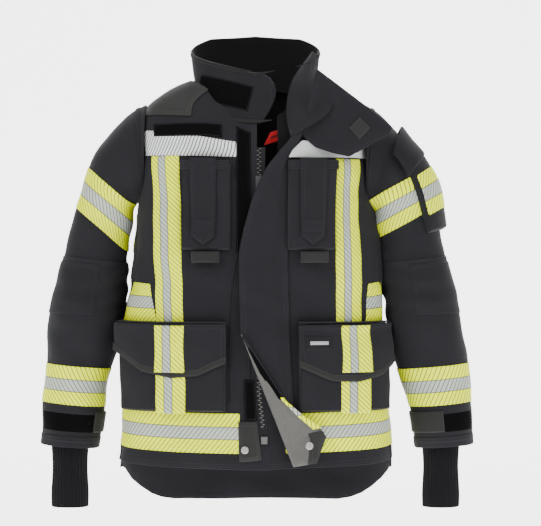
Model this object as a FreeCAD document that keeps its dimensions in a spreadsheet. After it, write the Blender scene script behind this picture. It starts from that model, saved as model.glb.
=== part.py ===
import FreeCAD, Part
import math
import os
import Sketcher
from FreeCAD import Placement, Rotation, Vector

# Turnout coat. Millimetres, +Z up, front of the coat faces -Y, wearer's left is +X.
# The origin is the centre of the neck opening at the height of the back collar seam.

doc = FreeCAD.newDocument("TurnoutCoat")

# ---------------------------------------------------------------- driving sizes

SIZES = {
    # cloth layers, as stand-off from the outer face of the shell
    "liner_in": -6.5, "liner_out": -2.6, "shell_in": -2, "shell_out": 0,
    "skin_in": 0.6, "skin_out": 1.6, "pocket_in": 2.2, "cavity_in": 4.2,
    "cavity_out": 16, "pocket_out": 18, "flap_in": 20, "flap_out": 22,
    "flap_skin_in": 22.6, "flap_skin_out": 23.6, "pocket_skin_in": 18.5,
    "pocket_skin_out": 19.4, "tab_in": 3.5, "tab_out": 6,
    # holes cut through the layers for neck and arms
    "neck_wide": 124, "neck_deep": 103, "neck_reach": 260, "armhole_high": 119,
    "armhole_deep": 85, "armhole_out": 192, "armhole_z": -153, "armhole_reach": 200,
    # how far a cutting window reaches past the coat, and its top
    "reach": 300, "window_top": 60,
    # front face: a flat plane that leans out towards the hem
    "front_depth": 123.3, "front_slope": 0.04265, "front_lean": 2.442,
    "seam_gap": 1, "front_hem": -743, "liner_hem": -728, "liner_gap": 56,
    # front closure
    "zip_line": 8, "zip_half_gap": 5, "zip_top": -128, "zip_bottom": -690,
    "tooth_wide": 7, "tooth_start": 22, "tooth_back": 2.6,
    "zip_edge_gap": 1, "zip_edge_wide": 10, "zip_tape_thick": 1,
    "box_wide": 12, "box_tall": 14, "box_deep": 4,
    "slider_wide": 13, "slider_tall": 24, "slider_deep": 5, "slider_height": -196,
    "slider_stand": 2.6, "bridge_wide": 4, "bridge_tall": 14, "bridge_deep": 0.4,
    "pull_wide": 9, "pull_tall": 34, "pull_deep": 1.4, "pull_stand": 8.4,
    "pull_height": -201, "pull_hole": 5, "pull_hole_from": 22, "pull_hole_to": 30,
    # fastener strips beside the zip
    "strip_edge": -8, "strip_thick": 1.5, "upper_strip_far": -36, "upper_strip_from": -330,
    "upper_strip_to": -90, "lower_strip_far": -22, "lower_strip_from": -648,
    "lower_strip_to": -576, "hem_patch_far": -34, "hem_patch_from": -732,
    "hem_patch_to": -652, "stud_x": -19, "stud_up": -709, "socket_x": 104,
    "socket_up": -700, "socket_gap": 0.4,
    "cover_stand": 12, "cover_thick": 2.5, "corner_stand": 16.5, "corner_thick": 2.5,
    "corner_strip_stand": 19.3, "corner_strip_thick": 1.5,
    "snap_radius": 7, "snap_deep": 3.5, "snap_edge": 1,
    # collar
    "collar_lean": 24, "base_wide": 108, "base_deep": 96, "base_y": -20,
    "base_z": -40, "top_wide": 128, "top_deep": 98, "top_y": -8, "top_z": 44,
    "tool_y": -24, "tool_z": -78, "collar_wall": 2.4, "collar_skin": 0.6,
    "hook_out": 2.2,
    "collar_slit_from": 38, "collar_slit_wide": 34,
    "collar_end_y": -130.5, "collar_end_thick": 3.5,
    "tab_y": -138.5, "tab_thick": 4, "tab_patch_gap": 0.5, "tab_patch_thick": 1.5,
    "loop_bar": 3, "loop_reach": 12, "loop_half": 32, "loop_y": 57, "loop_height": 14,
    "loop_tall": 8, "loop_thick": 2,
    "label_y": 56, "label_z": -22, "label_wide": 42, "label_tall": 26, "label_thick": 1,
    # tapes
    "tape_wide": 75, "chest_tape_from": -152, "chest_tape_to": -124,
    "chest_tape_right": -38, "chest_tape_left": 66, "chest_tape_far": 204,
    "hem_tape_from": -714, "hem_tape_right": -10, "hem_tape_left": 62,
    "back_tape_from": -330, "side_tape_from": -468, "side_tape_to": -386,
    "side_tape_right": -198, "side_tape_left": 218, "name_far": -192, "name_near": -64,
    "name_from": -122, "name_to": -100, "pad_near": 96, "pad_far": 214, "pad_foot": -64,
    # braces: upper run on the shell, lower run on the pocket
    "brace_from": -466, "brace_to": -156, "brace_pocket_to": -570,
    "brace_right_far": -196, "brace_right_near": -142,
    "brace_left_near": 156, "brace_left_far": 208,
    "brace_low_right_far": -186, "brace_low_right_near": -136,
    "brace_low_left_near": 162, "brace_low_left_far": 210,
    # sleeves
    "notch_angle": 46, "notch_y": -48, "notch_size": 120,
    "arm_tape_turn_right": 40, "arm_tape_turn_left": 29, "fore_tape_turn": 5,
    "cuff_strip_from": -686, "cuff_strip_tall": 42, "cuff_tab_from": -684,
    "cuff_tab_tall": 44,
    "wrist_out": 368, "wrist_wide": 37, "wrist_deep": 30, "wrist_foot": -833,
    "wrist_top": -672, "wrist_wall": 2.5,
    # pocket on the left upper arm: its slope, then the place of each box out from
    # and along the sleeve, and the box sizes
    "bag_turn": 21, "bag_out": 231, "bag_along": 318.5, "bag_wide": 62, "bag_deep": 110,
    "bag_tall": 113, "hollow_out": 225, "hollow_along": 311.5, "hollow_wide": 70,
    "hollow_deep": 106, "hollow_tall": 123, "lid_out": 265.3, "lid_along": 276, "lid_wide": 2,
    "lid_deep": 118, "lid_tall": 72,
}

# station: half width, height, rise of an outer layer, own half depth (0: front plane)
TORSO = {
    "foot": (274, -850, 0, 0), "hem": (268, -743, 0, 0), "waist": (246, -420, 0, 0),
    "ribs": (238, -300, 0, 0), "chest": (225, -110, 0, 0),
    "shoulder": (215, -38, 0.8, 84), "neck": (94, 14, 1, 73),
}

# station: out from the middle, height, turn from level, half width, half depth
SLEEVE = {
    "armhole": (217, -135, 90, 98, 80), "crown": (240, -150, 76, 90, 79),
    "biceps": (275, -192, 59, 74, 72), "upper": (305, -281, 18, 62, 61),
    "elbow": (325, -410, 0, 71, 68), "below": (325, -413, 0, 71, 68),
    "fore": (339, -499, 7, 70, 63),
    "lower": (354, -576, 6, 62, 57), "wrist": (363, -634, 5, 57, 53),
    "cuff": (371, -712, 4, 56, 50),
}

# outlines as (across, up) seen from the front
OUTLINES = {
    "left_front": [(13, -743), (290, -743), (290, 60), (100, 60), (72, -104), (13, -205)],
    "back": [(-290, 60), (-290, -756), (-252, -785), (-210, -821), (-172, -835),
             (172, -835), (210, -821), (252, -785), (290, -756), (290, 60)],
    "cover": [(62, -114), (62, -436), (-27, -436), (-27, -318), (26, -242), (40, -165)],
    "cover_foot": [(62, -440), (62, -716), (-27, -487), (-27, -440)],
    "corner": [(-22, -492), (58, -616), (84, -644), (121, -668), (136, -684),
               (118, -728), (92, -742), (74, -738)],
    "corner_strip": [(2, -540), (58, -622), (70, -634), (64, -660), (6, -560)],
    "corner_patch": [(96, -664), (118, -671), (130, -684), (113, -724), (92, -734)],
    "left_edge": [(92, 40), (117, 30), (131, 0), (146, -33), (140, -58), (109, -82),
                  (74, -102), (67, -70), (78, -20)],
    "tab": [(119, 20), (263, -92), (256, -104), (196, -138), (178, -146), (117, -128),
            (92, -106)],
    "tab_patch": [(201, -70), (222, -92), (201, -114), (180, -92)],
    "strap": [(0, 0), (48, 0), (48, -136), (24, -160), (0, -136)],
    "flap": [(0, 0), (192, 0), (192, -73), (137, -98), (95, -107), (46, -91), (0, -50)],
    "flap_left": [(0, 0), (164, 0), (164, -73), (142, -100), (64, -106), (0, -74)],
    "hook_patch": [(-104, 17), (-2, -12), (-14, -58), (-113, -31)],
}

# cargo pockets: inner edge, outer edge, floor, lip; flap hangs from the lip height
POCKETS = {
    "pocket_right_near": -58, "pocket_right_far": -244,
    "pocket_left_near": 88, "pocket_left_far": 244,
    "pocket_floor": -634, "pocket_lip": -490, "flap_top": -468,
    "radio_right": -138, "radio_left": 67, "radio_wide": 88,
    "radio_floor": -322, "radio_lip": -164, "strap_top": -158,
    "strap_right": -120, "strap_left": 84, "radio_loop_top": -330,
    "radio_loop_wide": 52, "radio_loop_tall": 20, "radio_loop_inset": 20,
    "pocket_wall": 2, "pocket_back": 2.5, "flap_right_edge": -248, "flap_left_edge": 84,
    "flap_tape_from": -560, "flap_tape_to": -470, "badge_near": 94, "badge_far": 146,
    "badge_from": -518, "badge_to": -490,
}

sheet = doc.addObject("Spreadsheet::Sheet", "Sizes")
row = 0


def record_size(alias, value):
    """Store one named size in the spreadsheet."""
    global row
    row += 1
    sheet.set(f"A{row}", alias)
    sheet.set(f"B{row}", str(value))
    sheet.setAlias(f"B{row}", alias)


for alias, value in {**SIZES, **POCKETS}.items():
    record_size(alias, value)
for station, values in TORSO.items():
    for kind, value in zip(("wide", "height", "rise", "deep"), values):
        record_size(f"torso_{station}_{kind}", value)
for station, values in SLEEVE.items():
    for kind, value in zip(("out", "height", "turn", "wide", "deep"), values):
        record_size(f"arm_{station}_{kind}", value)
for shape, corners in OUTLINES.items():
    for number, (across, up) in enumerate(corners, 1):
        record_size(f"{shape}_across_{number}", across)
        record_size(f"{shape}_up_{number}", up)
doc.recompute()


# ---------------------------------------------------------------- small helpers

def size(name):
    """Expression for one named size."""
    return f"Sizes.{name}"


def add(kind, name, **values):
    """Add an object; text values become expressions, other values are set."""
    thing = doc.addObject(kind, name)
    for key, value in values.items():
        if isinstance(value, str):
            thing.setExpression(key, value)
        else:
            setattr(thing, key, value)
    return thing


def place(thing, x="0", y="0", z="0", axis=None, angle="0"):
    """Bind an object's position, and its turn about one axis."""
    if axis is not None:
        thing.Placement = Placement(Vector(0, 0, 0), Rotation(axis, 10))
        thing.setExpression("Placement.Rotation.Angle", f"({angle}) * 1 deg")
    for letter, value in (("x", x), ("y", y), ("z", z)):
        thing.setExpression(f"Placement.Base.{letter}", f"({value}) * 1 mm")
    return thing


def cut(name, base, *tools):
    """Base with each tool taken away."""
    for number, tool in enumerate(tools):
        step = name if number == len(tools) - 1 else f"{name}_step_{number}"
        base = add("Part::Cut", step, Base=base, Tool=tool)
    return base


def common(name, first, second):
    """What two solids share."""
    return add("Part::Common", name, Base=first, Tool=second)


def group(name, solids):
    """Several separate solids kept as one piece."""
    return add("Part::Compound", name, Links=solids)


def box(name, x, y, z):
    """Box between two limits on each axis, the limits being expressions."""
    block = add("Part::Box", name, Length=f"({x[1]}) - ({x[0]})",
                Width=f"({y[1]}) - ({y[0]})", Height=f"({z[1]}) - ({z[0]})")
    return place(block, x[0], y[0], z[0])


def tilted_box(name, centre, sizes, angle):
    """Box centred on a point and turned about the front-to-back axis."""
    block = add("Part::Box", name, Length=sizes[0], Width=sizes[1], Height=sizes[2])
    turn = f"({angle})"
    half_x = f"({sizes[0]}) / 2"
    half_z = f"({sizes[2]}) / 2"
    x = f"{centre[0]} - {half_x} * cos({turn} * 1 deg) - {half_z} * sin({turn} * 1 deg)"
    z = f"{centre[2]} + {half_x} * sin({turn} * 1 deg) - {half_z} * cos({turn} * 1 deg)"
    return place(block, x, f"{centre[1]} - ({sizes[1]}) / 2", z, Vector(0, 1, 0), turn)


def outline(name, shape, across=lambda value: value):
    """Closed sketch through the named corners of one outline."""
    sketch = doc.addObject("Sketcher::SketchObject", name)
    corners = OUTLINES[shape]
    flip = -1 if across("1").startswith("-") else 1
    for number, (x, y) in enumerate(corners):
        x_next, y_next = corners[(number + 1) % len(corners)]
        line = Part.LineSegment(Vector(flip * x, y, 0), Vector(flip * x_next, y_next, 0))
        sketch.addGeometry(line, False)
    for number, (x, y) in enumerate(corners):
        follower = (number + 1) % len(corners)
        sketch.addConstraint(Sketcher.Constraint("Coincident", number, 2, follower, 1))
        rule = Sketcher.Constraint("DistanceX", -1, 1, number, 1, flip * x)
        mark = sketch.addConstraint(rule)
        value = across(size(f"{shape}_across_{number + 1}"))
        sketch.setExpression(f"Constraints[{mark}]", value)
        rule = Sketcher.Constraint("DistanceY", -1, 1, number, 1, y)
        mark = sketch.addConstraint(rule)
        sketch.setExpression(f"Constraints[{mark}]", size(f"{shape}_up_{number + 1}"))
    return sketch


def prism(name, sketch, forward, lengths):
    """Solid swept from a sketch along a fixed direction."""
    solid = add("Part::Extrusion", name, Base=sketch, Dir=forward, Solid=True,
                LengthFwd=lengths[0], LengthRev=lengths[1])
    solid.DirMode = "Custom"
    return solid


def upright_prism(name, shape, back, across=lambda value: value):
    """Window seen from the front, reaching over the front or the back half."""
    sketch = place(outline(f"{name}_outline", shape, across), axis=Vector(1, 0, 0),
                   angle="90")
    forward = Vector(0, 1, 0) if back else Vector(0, -1, 0)
    return prism(name, sketch, forward, ("300", f"-{size('seam_gap')} / 2"))


def plate(name, shape, stand, thick):
    """Flat piece lying on the leaning front plane at a stand-off."""
    sketch = outline(f"{name}_outline", shape)
    place(sketch, y=f"-{size('front_depth')} - {stand}", axis=Vector(1, 0, 0),
          angle=f"90 - {size('front_lean')}")
    lean = math.radians(SIZES["front_lean"])
    return prism(name, sketch, Vector(0, -math.cos(lean), math.sin(lean)), (thick, "0"))


def mirrored(sign, near, far):
    """Limits across, mirrored for the right side."""
    return (near, far) if sign > 0 else (f"-{far}", f"-{near}")


def front_box(name, x, up, stand):
    """Box lying on the leaning front plane, limits across, up and off the plane."""
    block = add("Part::Box", name, Length=f"({x[1]}) - ({x[0]})",
                Width=f"({up[1]}) - ({up[0]})", Height=f"({stand[1]}) - ({stand[0]})")
    lean = f"({size('front_lean')} * 1 deg)"
    y = (f"-{size('front_depth')} + ({up[0]}) * sin({lean}) - ({stand[0]}) * cos({lean})")
    z = f"({up[0]}) * cos({lean}) + ({stand[0]}) * sin({lean})"
    return place(block, x[0], y, z, Vector(1, 0, 0), f"90 - {size('front_lean')}")


# ---------------------------------------------------------------- lofted layers

def slot(name, half_width, half_depth, height, start):
    """Level section of the torso: a flat front and back joined by faceted sides."""
    wide, deep = start
    sketch = doc.addObject("Sketcher::SketchObject", name)
    reach = 1 / math.cos(math.radians(15))
    corners = []
    for sign, turns in ((1, (-75, -45, -15, 15, 45, 75)), (-1, (75, 45, 15, -15, -45, -75))):
        for turn in turns:
            along = reach * math.cos(math.radians(turn))
            across = reach * math.sin(math.radians(turn))
            corners.append((sign, along, across))
    points = [Vector(sign * (wide - deep + along * deep), across * deep, 0)
              for sign, along, across in corners]
    for number, point in enumerate(points):
        follower = points[(number + 1) % len(points)]
        sketch.addGeometry(Part.LineSegment(point, follower), False)
    for number, (sign, along, across) in enumerate(corners):
        follower = (number + 1) % len(corners)
        sketch.addConstraint(Sketcher.Constraint("Coincident", number, 2, follower, 1))
        rule = Sketcher.Constraint("DistanceX", -1, 1, number, 1, points[number].x)
        mark = sketch.addConstraint(rule)
        sketch.setExpression(f"Constraints[{mark}]", f"{sign} * (({half_width}) + "
                             f"({along:.6f} - 1) * ({half_depth}))")
        rule = Sketcher.Constraint("DistanceY", -1, 1, number, 1, points[number].y)
        mark = sketch.addConstraint(rule)
        sketch.setExpression(f"Constraints[{mark}]", f"{across:.6f} * ({half_depth})")
    return place(sketch, z=height)


torso_solids = {}


def torso_solid(layer):
    """Whole torso out to one named stand-off."""
    if layer in torso_solids:
        return torso_solids[layer]
    off = size(layer)
    sections = []
    for station, (wide, height, rise, deep) in TORSO.items():
        stem = f"torso_{station}"
        plane = f"{size('front_depth')} - {size(stem + '_height')} * {size('front_slope')}"
        start = SIZES["front_depth"] - height * SIZES["front_slope"]
        half_depth = size(f"{stem}_deep") if deep else plane
        sections.append(slot(f"{layer}_{station}",
                             f"{size(stem + '_wide')} + {off}", f"{half_depth} + {off}",
                             f"{size(stem + '_height')} + {off} * {size(stem + '_rise')}",
                             (wide + SIZES[layer], (deep or start) + SIZES[layer])))
    solid = add("Part::Loft", f"torso_{layer}", Sections=sections, Solid=True, Ruled=True)
    torso_solids[layer] = solid
    return solid


def torso_layer(name, outer, inner):
    """Closed skin of the torso between two named stand-offs."""
    return cut(name, torso_solid(outer), torso_solid(inner))


def ellipse(name, half_width, half_depth, centre, turn):
    """Section of a sleeve, turned about the front-to-back axis."""
    ring = add("Part::Ellipse", name, MajorRadius=half_width, MinorRadius=half_depth)
    return place(ring, centre[0], centre[1], centre[2], Vector(0, 1, 0), turn)


def sleeve_solid(name, side, layer, stations):
    """Sleeve between two stations out to one stand-off; side is -1 right, 1 left."""
    sections = []
    for station in stations:
        stem = f"arm_{station}"
        sections.append(ellipse(f"{name}_{station}",
                                f"{size(stem + '_wide')} + {layer}",
                                f"{size(stem + '_deep')} + {layer}",
                                (f"{side} * {size(stem + '_out')}", "0",
                                 size(stem + "_height")),
                                f"{-side} * {size(stem + '_turn')}"))
    return add("Part::Loft", name, Sections=sections, Solid=True, Ruled=True)


def sleeve_layer(name, side, outer, inner, stations):
    """Open tube of sleeve cloth between two stand-offs."""
    return cut(name, sleeve_solid(f"{name}_out", side, outer, stations),
               sleeve_solid(f"{name}_in", side, inner, stations))


def collar_ring(name, stem, off, y, z):
    """Tilted ellipse of the collar, grown by an offset."""
    ring = add("Part::Ellipse", name, MajorRadius=f"{size(stem + '_wide')} + {off}",
               MinorRadius=f"{size(stem + '_deep')} + {off}")
    return place(ring, "0", size(y), size(z), Vector(1, 0, 0), size("collar_lean"))


def collar_solid(name, off, foot=("base_y", "base_z")):
    """Collar body from its seam to its top edge, grown by an offset."""
    sections = [collar_ring(f"{name}_base", "base", off, *foot),
                collar_ring(f"{name}_top", "top", off, "top_y", "top_z")]
    return add("Part::Loft", name, Sections=sections, Solid=True, Ruled=True)


pieces = {}


def keep(name, thing):
    """Name a finished piece of the coat."""
    thing.Label = name
    pieces[name] = thing
    return thing


# ---------------------------------------------------------------- torso shells

UPPER_ARM = ("armhole", "crown", "biceps", "upper", "elbow")
FOREARM = ("below", "fore", "lower", "wrist", "cuff")
SIDES = {"right": -1, "left": 1}

neck_ring = collar_ring("neck_ring", "neck", "0", "tool_y", "tool_z")
neck_way = Vector(0, SIZES["top_y"] - SIZES["base_y"], SIZES["top_z"] - SIZES["base_z"])
neck_tool = prism("neck_tool", neck_ring, neck_way.normalize(),
                  (size("neck_reach"), "0"))
arm_tools = []
for side, sign in SIDES.items():
    hole = ellipse(f"armhole_{side}", size("armhole_high"), size("armhole_deep"),
                   (f"{sign} * {size('armhole_out')}", "0", size("armhole_z")), "90")
    arm_tools.append(prism(f"arm_tool_{side}", hole, Vector(sign, 0, 0),
                           (size("armhole_reach"), "0")))


def opened(name, layer):
    """Torso layer with the neck and both armholes cut out."""
    return cut(name, layer, neck_tool, *arm_tools)


shell = opened("shell", torso_layer("shell_ring", "shell_out", "shell_in"))
skin = opened("skin", torso_layer("skin_ring", "skin_out", "skin_in"))
liner = opened("liner", torso_layer("liner_ring", "liner_out", "liner_in"))

half_gap = size("zip_half_gap")
zip_line = size("zip_line")
reach = size("reach")
window_top = size("window_top")
front = (f"-{reach}", f"-{size('seam_gap')} / 2")
rear = (f"{size('seam_gap')} / 2", reach)
across = (f"-{reach}", reach)

keep("front_panel_right", common("right_front", shell, box(
    "right_window", (f"-{reach}", f"{zip_line} - {half_gap}"), front,
    (size("front_hem"), window_top))))
keep("front_panel_left", common("left_front", shell,
                                upright_prism("left_window", "left_front", False)))
keep("back_panel", common("back", shell, upright_prism("back_window", "back", True)))

liner_gap = box("liner_gap", (f"{zip_line} - {size('liner_gap')} / 2",
                              f"{zip_line} + {size('liner_gap')} / 2"),
                (f"-{reach}", "0"), (f"-{reach} * 3", window_top))
liner_body = common("liner_trim", liner, box("liner_window", across, across,
                                             (size("liner_hem"), window_top)))
keep("body_liner", cut("liner_open", liner_body, liner_gap))


# ---------------------------------------------------------------- tapes and pads

def patch(name, layer, x, y, z):
    """Part of a layer inside a box."""
    return common(name, layer, box(f"{name}_window", x, y, z))


pads = []
for side, sign in SIDES.items():
    limits = mirrored(sign, size("pad_near"), size("pad_far"))
    pads.append(patch(f"pad_{side}", skin, limits, across, (size("pad_foot"), window_top)))
keep("shoulder_pads", group("pads", pads))

chest = (size("chest_tape_from"), size("chest_tape_to"))
keep("chest_tapes", group("chest_pair", [
    patch("chest_right", skin, (f"-{size('chest_tape_far')}", size("chest_tape_right")),
          front, chest),
    patch("chest_left", skin, (size("chest_tape_left"), size("chest_tape_far")),
          front, chest)]))

hem = (size("hem_tape_from"), f"{size('hem_tape_from')} + {size('tape_wide')}")
keep("hem_tapes", group("hem_pair", [
    patch("hem_right", skin, (f"-{reach}", size("hem_tape_right")), front, hem),
    patch("hem_left", skin, (size("hem_tape_left"), reach), front, hem)]))

back_chest = (size("back_tape_from"), f"{size('back_tape_from')} + {size('tape_wide')}")
keep("back_tapes", group("back_pair", [
    patch("back_upper", skin, across, rear, back_chest),
    patch("back_lower", skin, across, rear, hem)]))

waist = (size("side_tape_from"), size("side_tape_to"))
keep("side_tapes", group("side_pair", [
    patch("side_right", skin, (f"-{reach}", size("side_tape_right")), front, waist),
    patch("side_left", skin, (size("side_tape_left"), reach), front, waist)]))

keep("name_panel", patch("name_strip", skin, (size("name_far"), size("name_near")), front,
                         (size("name_from"), size("name_to"))))

brace_up = (size("brace_from"), size("brace_to"))
pocket_skin = torso_layer("pocket_skin", "pocket_skin_out", "pocket_skin_in")
brace_parts = []
low_brace = {}
for side, ends in (("right", ("far", "near")), ("left", ("near", "far"))):
    upper_x, low_brace[side] = [tuple(size(f"{stem}_{side}_{end}") for end in ends)
                                for stem in ("brace", "brace_low")]
    brace_parts.append(patch(f"brace_{side}", skin, upper_x, front, brace_up))
    brace_parts.append(patch(f"brace_pocket_{side}", pocket_skin, low_brace[side], front,
                             (size("pocket_floor"), size("brace_pocket_to"))))
keep("brace_tapes", group("brace_all", brace_parts))


# ---------------------------------------------------------------- pockets

bulk = torso_layer("bulk", "pocket_out", "pocket_in")
hollow = torso_layer("hollow", "cavity_out", "cavity_in")
wall = size("pocket_wall")


def pocket(name, x, z):
    """Bellows pocket sewn on the shell, open at its upper lip."""
    body = patch(f"{name}_body", bulk, x, front, z)
    inside_x = (f"{x[0]} + {wall}", f"{x[1]} - {wall}")
    inside = patch(f"{name}_inside", hollow, inside_x,
                   (f"-{reach}", f"-{size('pocket_back')}"), (f"{z[0]} + {wall}", window_top))
    return cut(f"{name}_open", body, inside)


cargo_up = (size("pocket_floor"), size("pocket_lip"))
keep("cargo_pocket_right", pocket("cargo_right", (size("pocket_right_far"),
                                                  size("pocket_right_near")), cargo_up))
keep("cargo_pocket_left", pocket("cargo_left", (size("pocket_left_near"),
                                                size("pocket_left_far")), cargo_up))

radio_up = (size("radio_floor"), size("radio_lip"))
loops = []
for side in SIDES:
    near = size(f"radio_{side}")
    far = f"{near} + {size('radio_wide')}"
    keep(f"radio_pocket_{side}", pocket(f"radio_bag_{side}", (near, far), radio_up))
    loop_start = f"{near} + {size('radio_loop_inset')}"
    loop_x = (loop_start, f"{loop_start} + {size('radio_loop_wide')}")
    loop_z = (f"{size('radio_loop_top')} - {size('radio_loop_tall')}",
              size("radio_loop_top"))
    strap_body = patch(f"loop_{side}", bulk, loop_x, front, loop_z)
    hole = patch(f"loop_hole_{side}", hollow, (f"{loop_x[0]} + {wall}",
                                               f"{loop_x[1]} - {wall}"),
                 front, (f"{loop_z[0]} - {wall}", f"{loop_z[1]} + {wall}"))
    loops.append(cut(f"radio_loop_{side}", strap_body, hole))
keep("radio_loops", group("loops", loops))


# ---------------------------------------------------------------- front closure

def zip_strip(name, from_edge, to_edge):
    """One woven edge of the zip, on the front panel beside the opening."""
    return front_box(name, (from_edge, to_edge), (size("zip_bottom"), size("zip_top")),
                     (size("skin_in"), f"{size('skin_in')} + {size('zip_tape_thick')}"))


edge_gap = size("zip_edge_gap")
edge_wide = size("zip_edge_wide")
keep("zip_tapes", group("zip_pair", [
    zip_strip("zip_edge_right", f"{zip_line} - {edge_gap} - {edge_wide}",
              f"{zip_line} - {edge_gap}"),
    zip_strip("zip_edge_left", f"{zip_line} + {edge_gap}",
              f"{zip_line} + {edge_gap} + {edge_wide}")]))

first_tooth = front_box("tooth", (f"{zip_line} - {size('tooth_wide')} / 2",
                                  f"{zip_line} + {size('tooth_wide')} / 2"),
                        (f"{size('zip_bottom')} + {size('tooth_start')}", size("zip_top")),
                        (f"-{size('tooth_back')}", "0"))
stop_box = front_box("stop_box", (f"{zip_line} - {size('box_wide')} / 2",
                                  f"{zip_line} + {size('box_wide')} / 2"),
                     (size("zip_bottom"), f"{size('zip_bottom')} + {size('box_tall')}"),
                     (size("pocket_in"), f"{size('pocket_in')} + {size('box_deep')}"))
keep("zip_chain", group("zip_metal", [first_tooth, stop_box]))

raised = (size("pocket_in"), f"{size('pocket_in')} + {size('strip_thick')}")
keep("loop_strips", group("loop_pair", [
    front_box("loop_upper", (size("upper_strip_far"), size("strip_edge")),
              (size("upper_strip_from"), size("upper_strip_to")),
              (size("skin_in"), size("skin_out"))),
    front_box("loop_lower", (size("lower_strip_far"), size("strip_edge")),
              (size("lower_strip_from"), size("lower_strip_to")), raised)]))

keep("hem_patch", front_box("hem_corner", (size("hem_patch_far"), size("strip_edge")),
                            (size("hem_patch_from"), size("hem_patch_to")), raised))


def snap(name, x, up, stand):
    """Press stud: a domed round button standing on the front plane."""
    body = doc.addObject("PartDesign::Body", name)
    profile = body.newObject("Sketcher::SketchObject", f"{name}_profile")
    plane = [part for part in body.Origin.OriginFeatures if part.Role == "XY_Plane"][0]
    profile.AttachmentSupport = [(plane, "")]
    profile.MapMode = "FlatFace"
    profile.addGeometry(Part.Circle(Vector(0, 0, 0), Vector(0, 0, 1), 7), False)
    profile.addConstraint(Sketcher.Constraint("Coincident", 0, 3, -1, 1))
    mark = profile.addConstraint(Sketcher.Constraint("Radius", 0, 7))
    profile.setExpression(f"Constraints[{mark}]", size("snap_radius"))
    button = body.newObject("PartDesign::Pad", f"{name}_button")
    button.Profile = profile
    button.setExpression("Length", size("snap_deep"))
    doc.recompute()
    rim = body.newObject("PartDesign::Fillet", f"{name}_rim")
    top = max(range(len(button.Shape.Edges)),
              key=lambda number: button.Shape.Edges[number].BoundBox.ZMin)
    rim.Base = (button, [f"Edge{top + 1}"])
    rim.setExpression("Radius", size("snap_edge"))
    body.Tip = rim
    lean = f"({size('front_lean')} * 1 deg)"
    y = f"-{size('front_depth')} + {up} * sin({lean}) - ({stand}) * cos({lean})"
    return place(body, x, y, f"{up} * cos({lean}) + ({stand}) * sin({lean})",
                 Vector(1, 0, 0), f"90 - {size('front_lean')}")


keep("snap_stud", snap("stud", size("stud_x"), size("stud_up"),
                       f"{raised[1]} + {size('socket_gap')}"))

keep("storm_flap", plate("cover_upper", "cover", size("cover_stand"), size("cover_thick")))
keep("storm_flap_lower", plate("cover_lower", "cover_foot", size("cover_stand"),
                               size("cover_thick")))
keep("storm_flap_corner", plate("cover_corner", "corner", size("corner_stand"),
                                size("corner_thick")))
keep("corner_hook_strip", plate("corner_hooks", "corner_strip",
                                size("corner_strip_stand"), size("corner_strip_thick")))
keep("corner_patch", plate("corner_leather", "corner_patch",
                           size("corner_strip_stand"), size("corner_strip_thick")))
keep("snap_socket", snap("socket", size("socket_x"), size("socket_up"),
                         f"{size('corner_strip_stand')} + {size('corner_strip_thick')} "
                         f"+ {size('socket_gap')}"))


def half(value):
    """Half of an expression."""
    return f"({value}) / 2"


slider_body = front_box("slider_body", (f"{zip_line} - {half(size('slider_wide'))}",
                                        f"{zip_line} + {half(size('slider_wide'))}"),
                        (f"{size('slider_height')} - {half(size('slider_tall'))}",
                         f"{size('slider_height')} + {half(size('slider_tall'))}"),
                        (size("slider_stand"),
                         f"{size('slider_stand')} + {size('slider_deep')}"))
slider_rail = front_box("slider_rail", (f"{zip_line} - {half(size('bridge_wide'))}",
                                        f"{zip_line} + {half(size('bridge_wide'))}"),
                        (f"{size('slider_height')} - {half(size('bridge_tall'))}",
                         f"{size('slider_height')} + {half(size('bridge_tall'))}"),
                        (f"{size('slider_stand')} + {size('slider_deep')} - 1",
                         f"{size('slider_stand')} + {size('slider_deep')} "
                         f"+ {size('bridge_deep')}"))
keep("zip_slider", add("Part::Fuse", "slider", Base=slider_body, Tool=slider_rail))

pull_body = front_box("pull_body", (f"{zip_line} - {half(size('pull_wide'))}",
                                    f"{zip_line} + {half(size('pull_wide'))}"),
                      (f"{size('pull_height')} - {size('pull_tall')}",
                       size("pull_height")),
                      (size("pull_stand"), f"{size('pull_stand')} + {size('pull_deep')}"))
pull_slot = front_box("pull_slot", (f"{zip_line} - {half(size('pull_hole'))}",
                                    f"{zip_line} + {half(size('pull_hole'))}"),
                      (f"{size('pull_height')} - {size('pull_hole_to')}",
                       f"{size('pull_height')} - {size('pull_hole_from')}"),
                      (f"{size('pull_stand')} - 2", f"{size('pull_stand')} + 6"))
keep("zip_pull", cut("pull", pull_body, pull_slot))


# ---------------------------------------------------------------- flaps and straps

flap_ring = torso_layer("flap_ring", "flap_out", "flap_in")
flap_skin = torso_layer("flap_skin", "flap_skin_out", "flap_skin_in")


def hanging(name, shape, left_edge, top, layer):
    """Hanging flap or strap: an outline laid on a layer, from its upper left corner."""
    sketch = outline(f"{name}_outline", shape)
    place(sketch, left_edge, "0", top, Vector(1, 0, 0), "90")
    window = prism(f"{name}_window", sketch, Vector(0, -1, 0), (reach, "0"))
    return common(name, layer, window)


for side, shape in (("right", "flap"), ("left", "flap_left")):
    keep(f"pocket_flap_{side}", hanging(f"flap_shape_{side}", shape,
                                        size(f"flap_{side}_edge"), size("flap_top"),
                                        flap_ring))
    keep(f"flap_tape_{side}", patch(f"flap_brace_{side}", flap_skin, low_brace[side], front,
                                    (size("flap_tape_from"), size("flap_tape_to"))))
    keep(f"radio_strap_{side}", hanging(f"strap_shape_{side}", "strap",
                                        size(f"strap_{side}"), size("strap_top"),
                                        flap_ring))
keep("brand_patch", patch("badge", flap_skin, (size("badge_near"), size("badge_far")), front,
                          (size("badge_from"), size("badge_to"))))


# ---------------------------------------------------------------- collar

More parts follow.
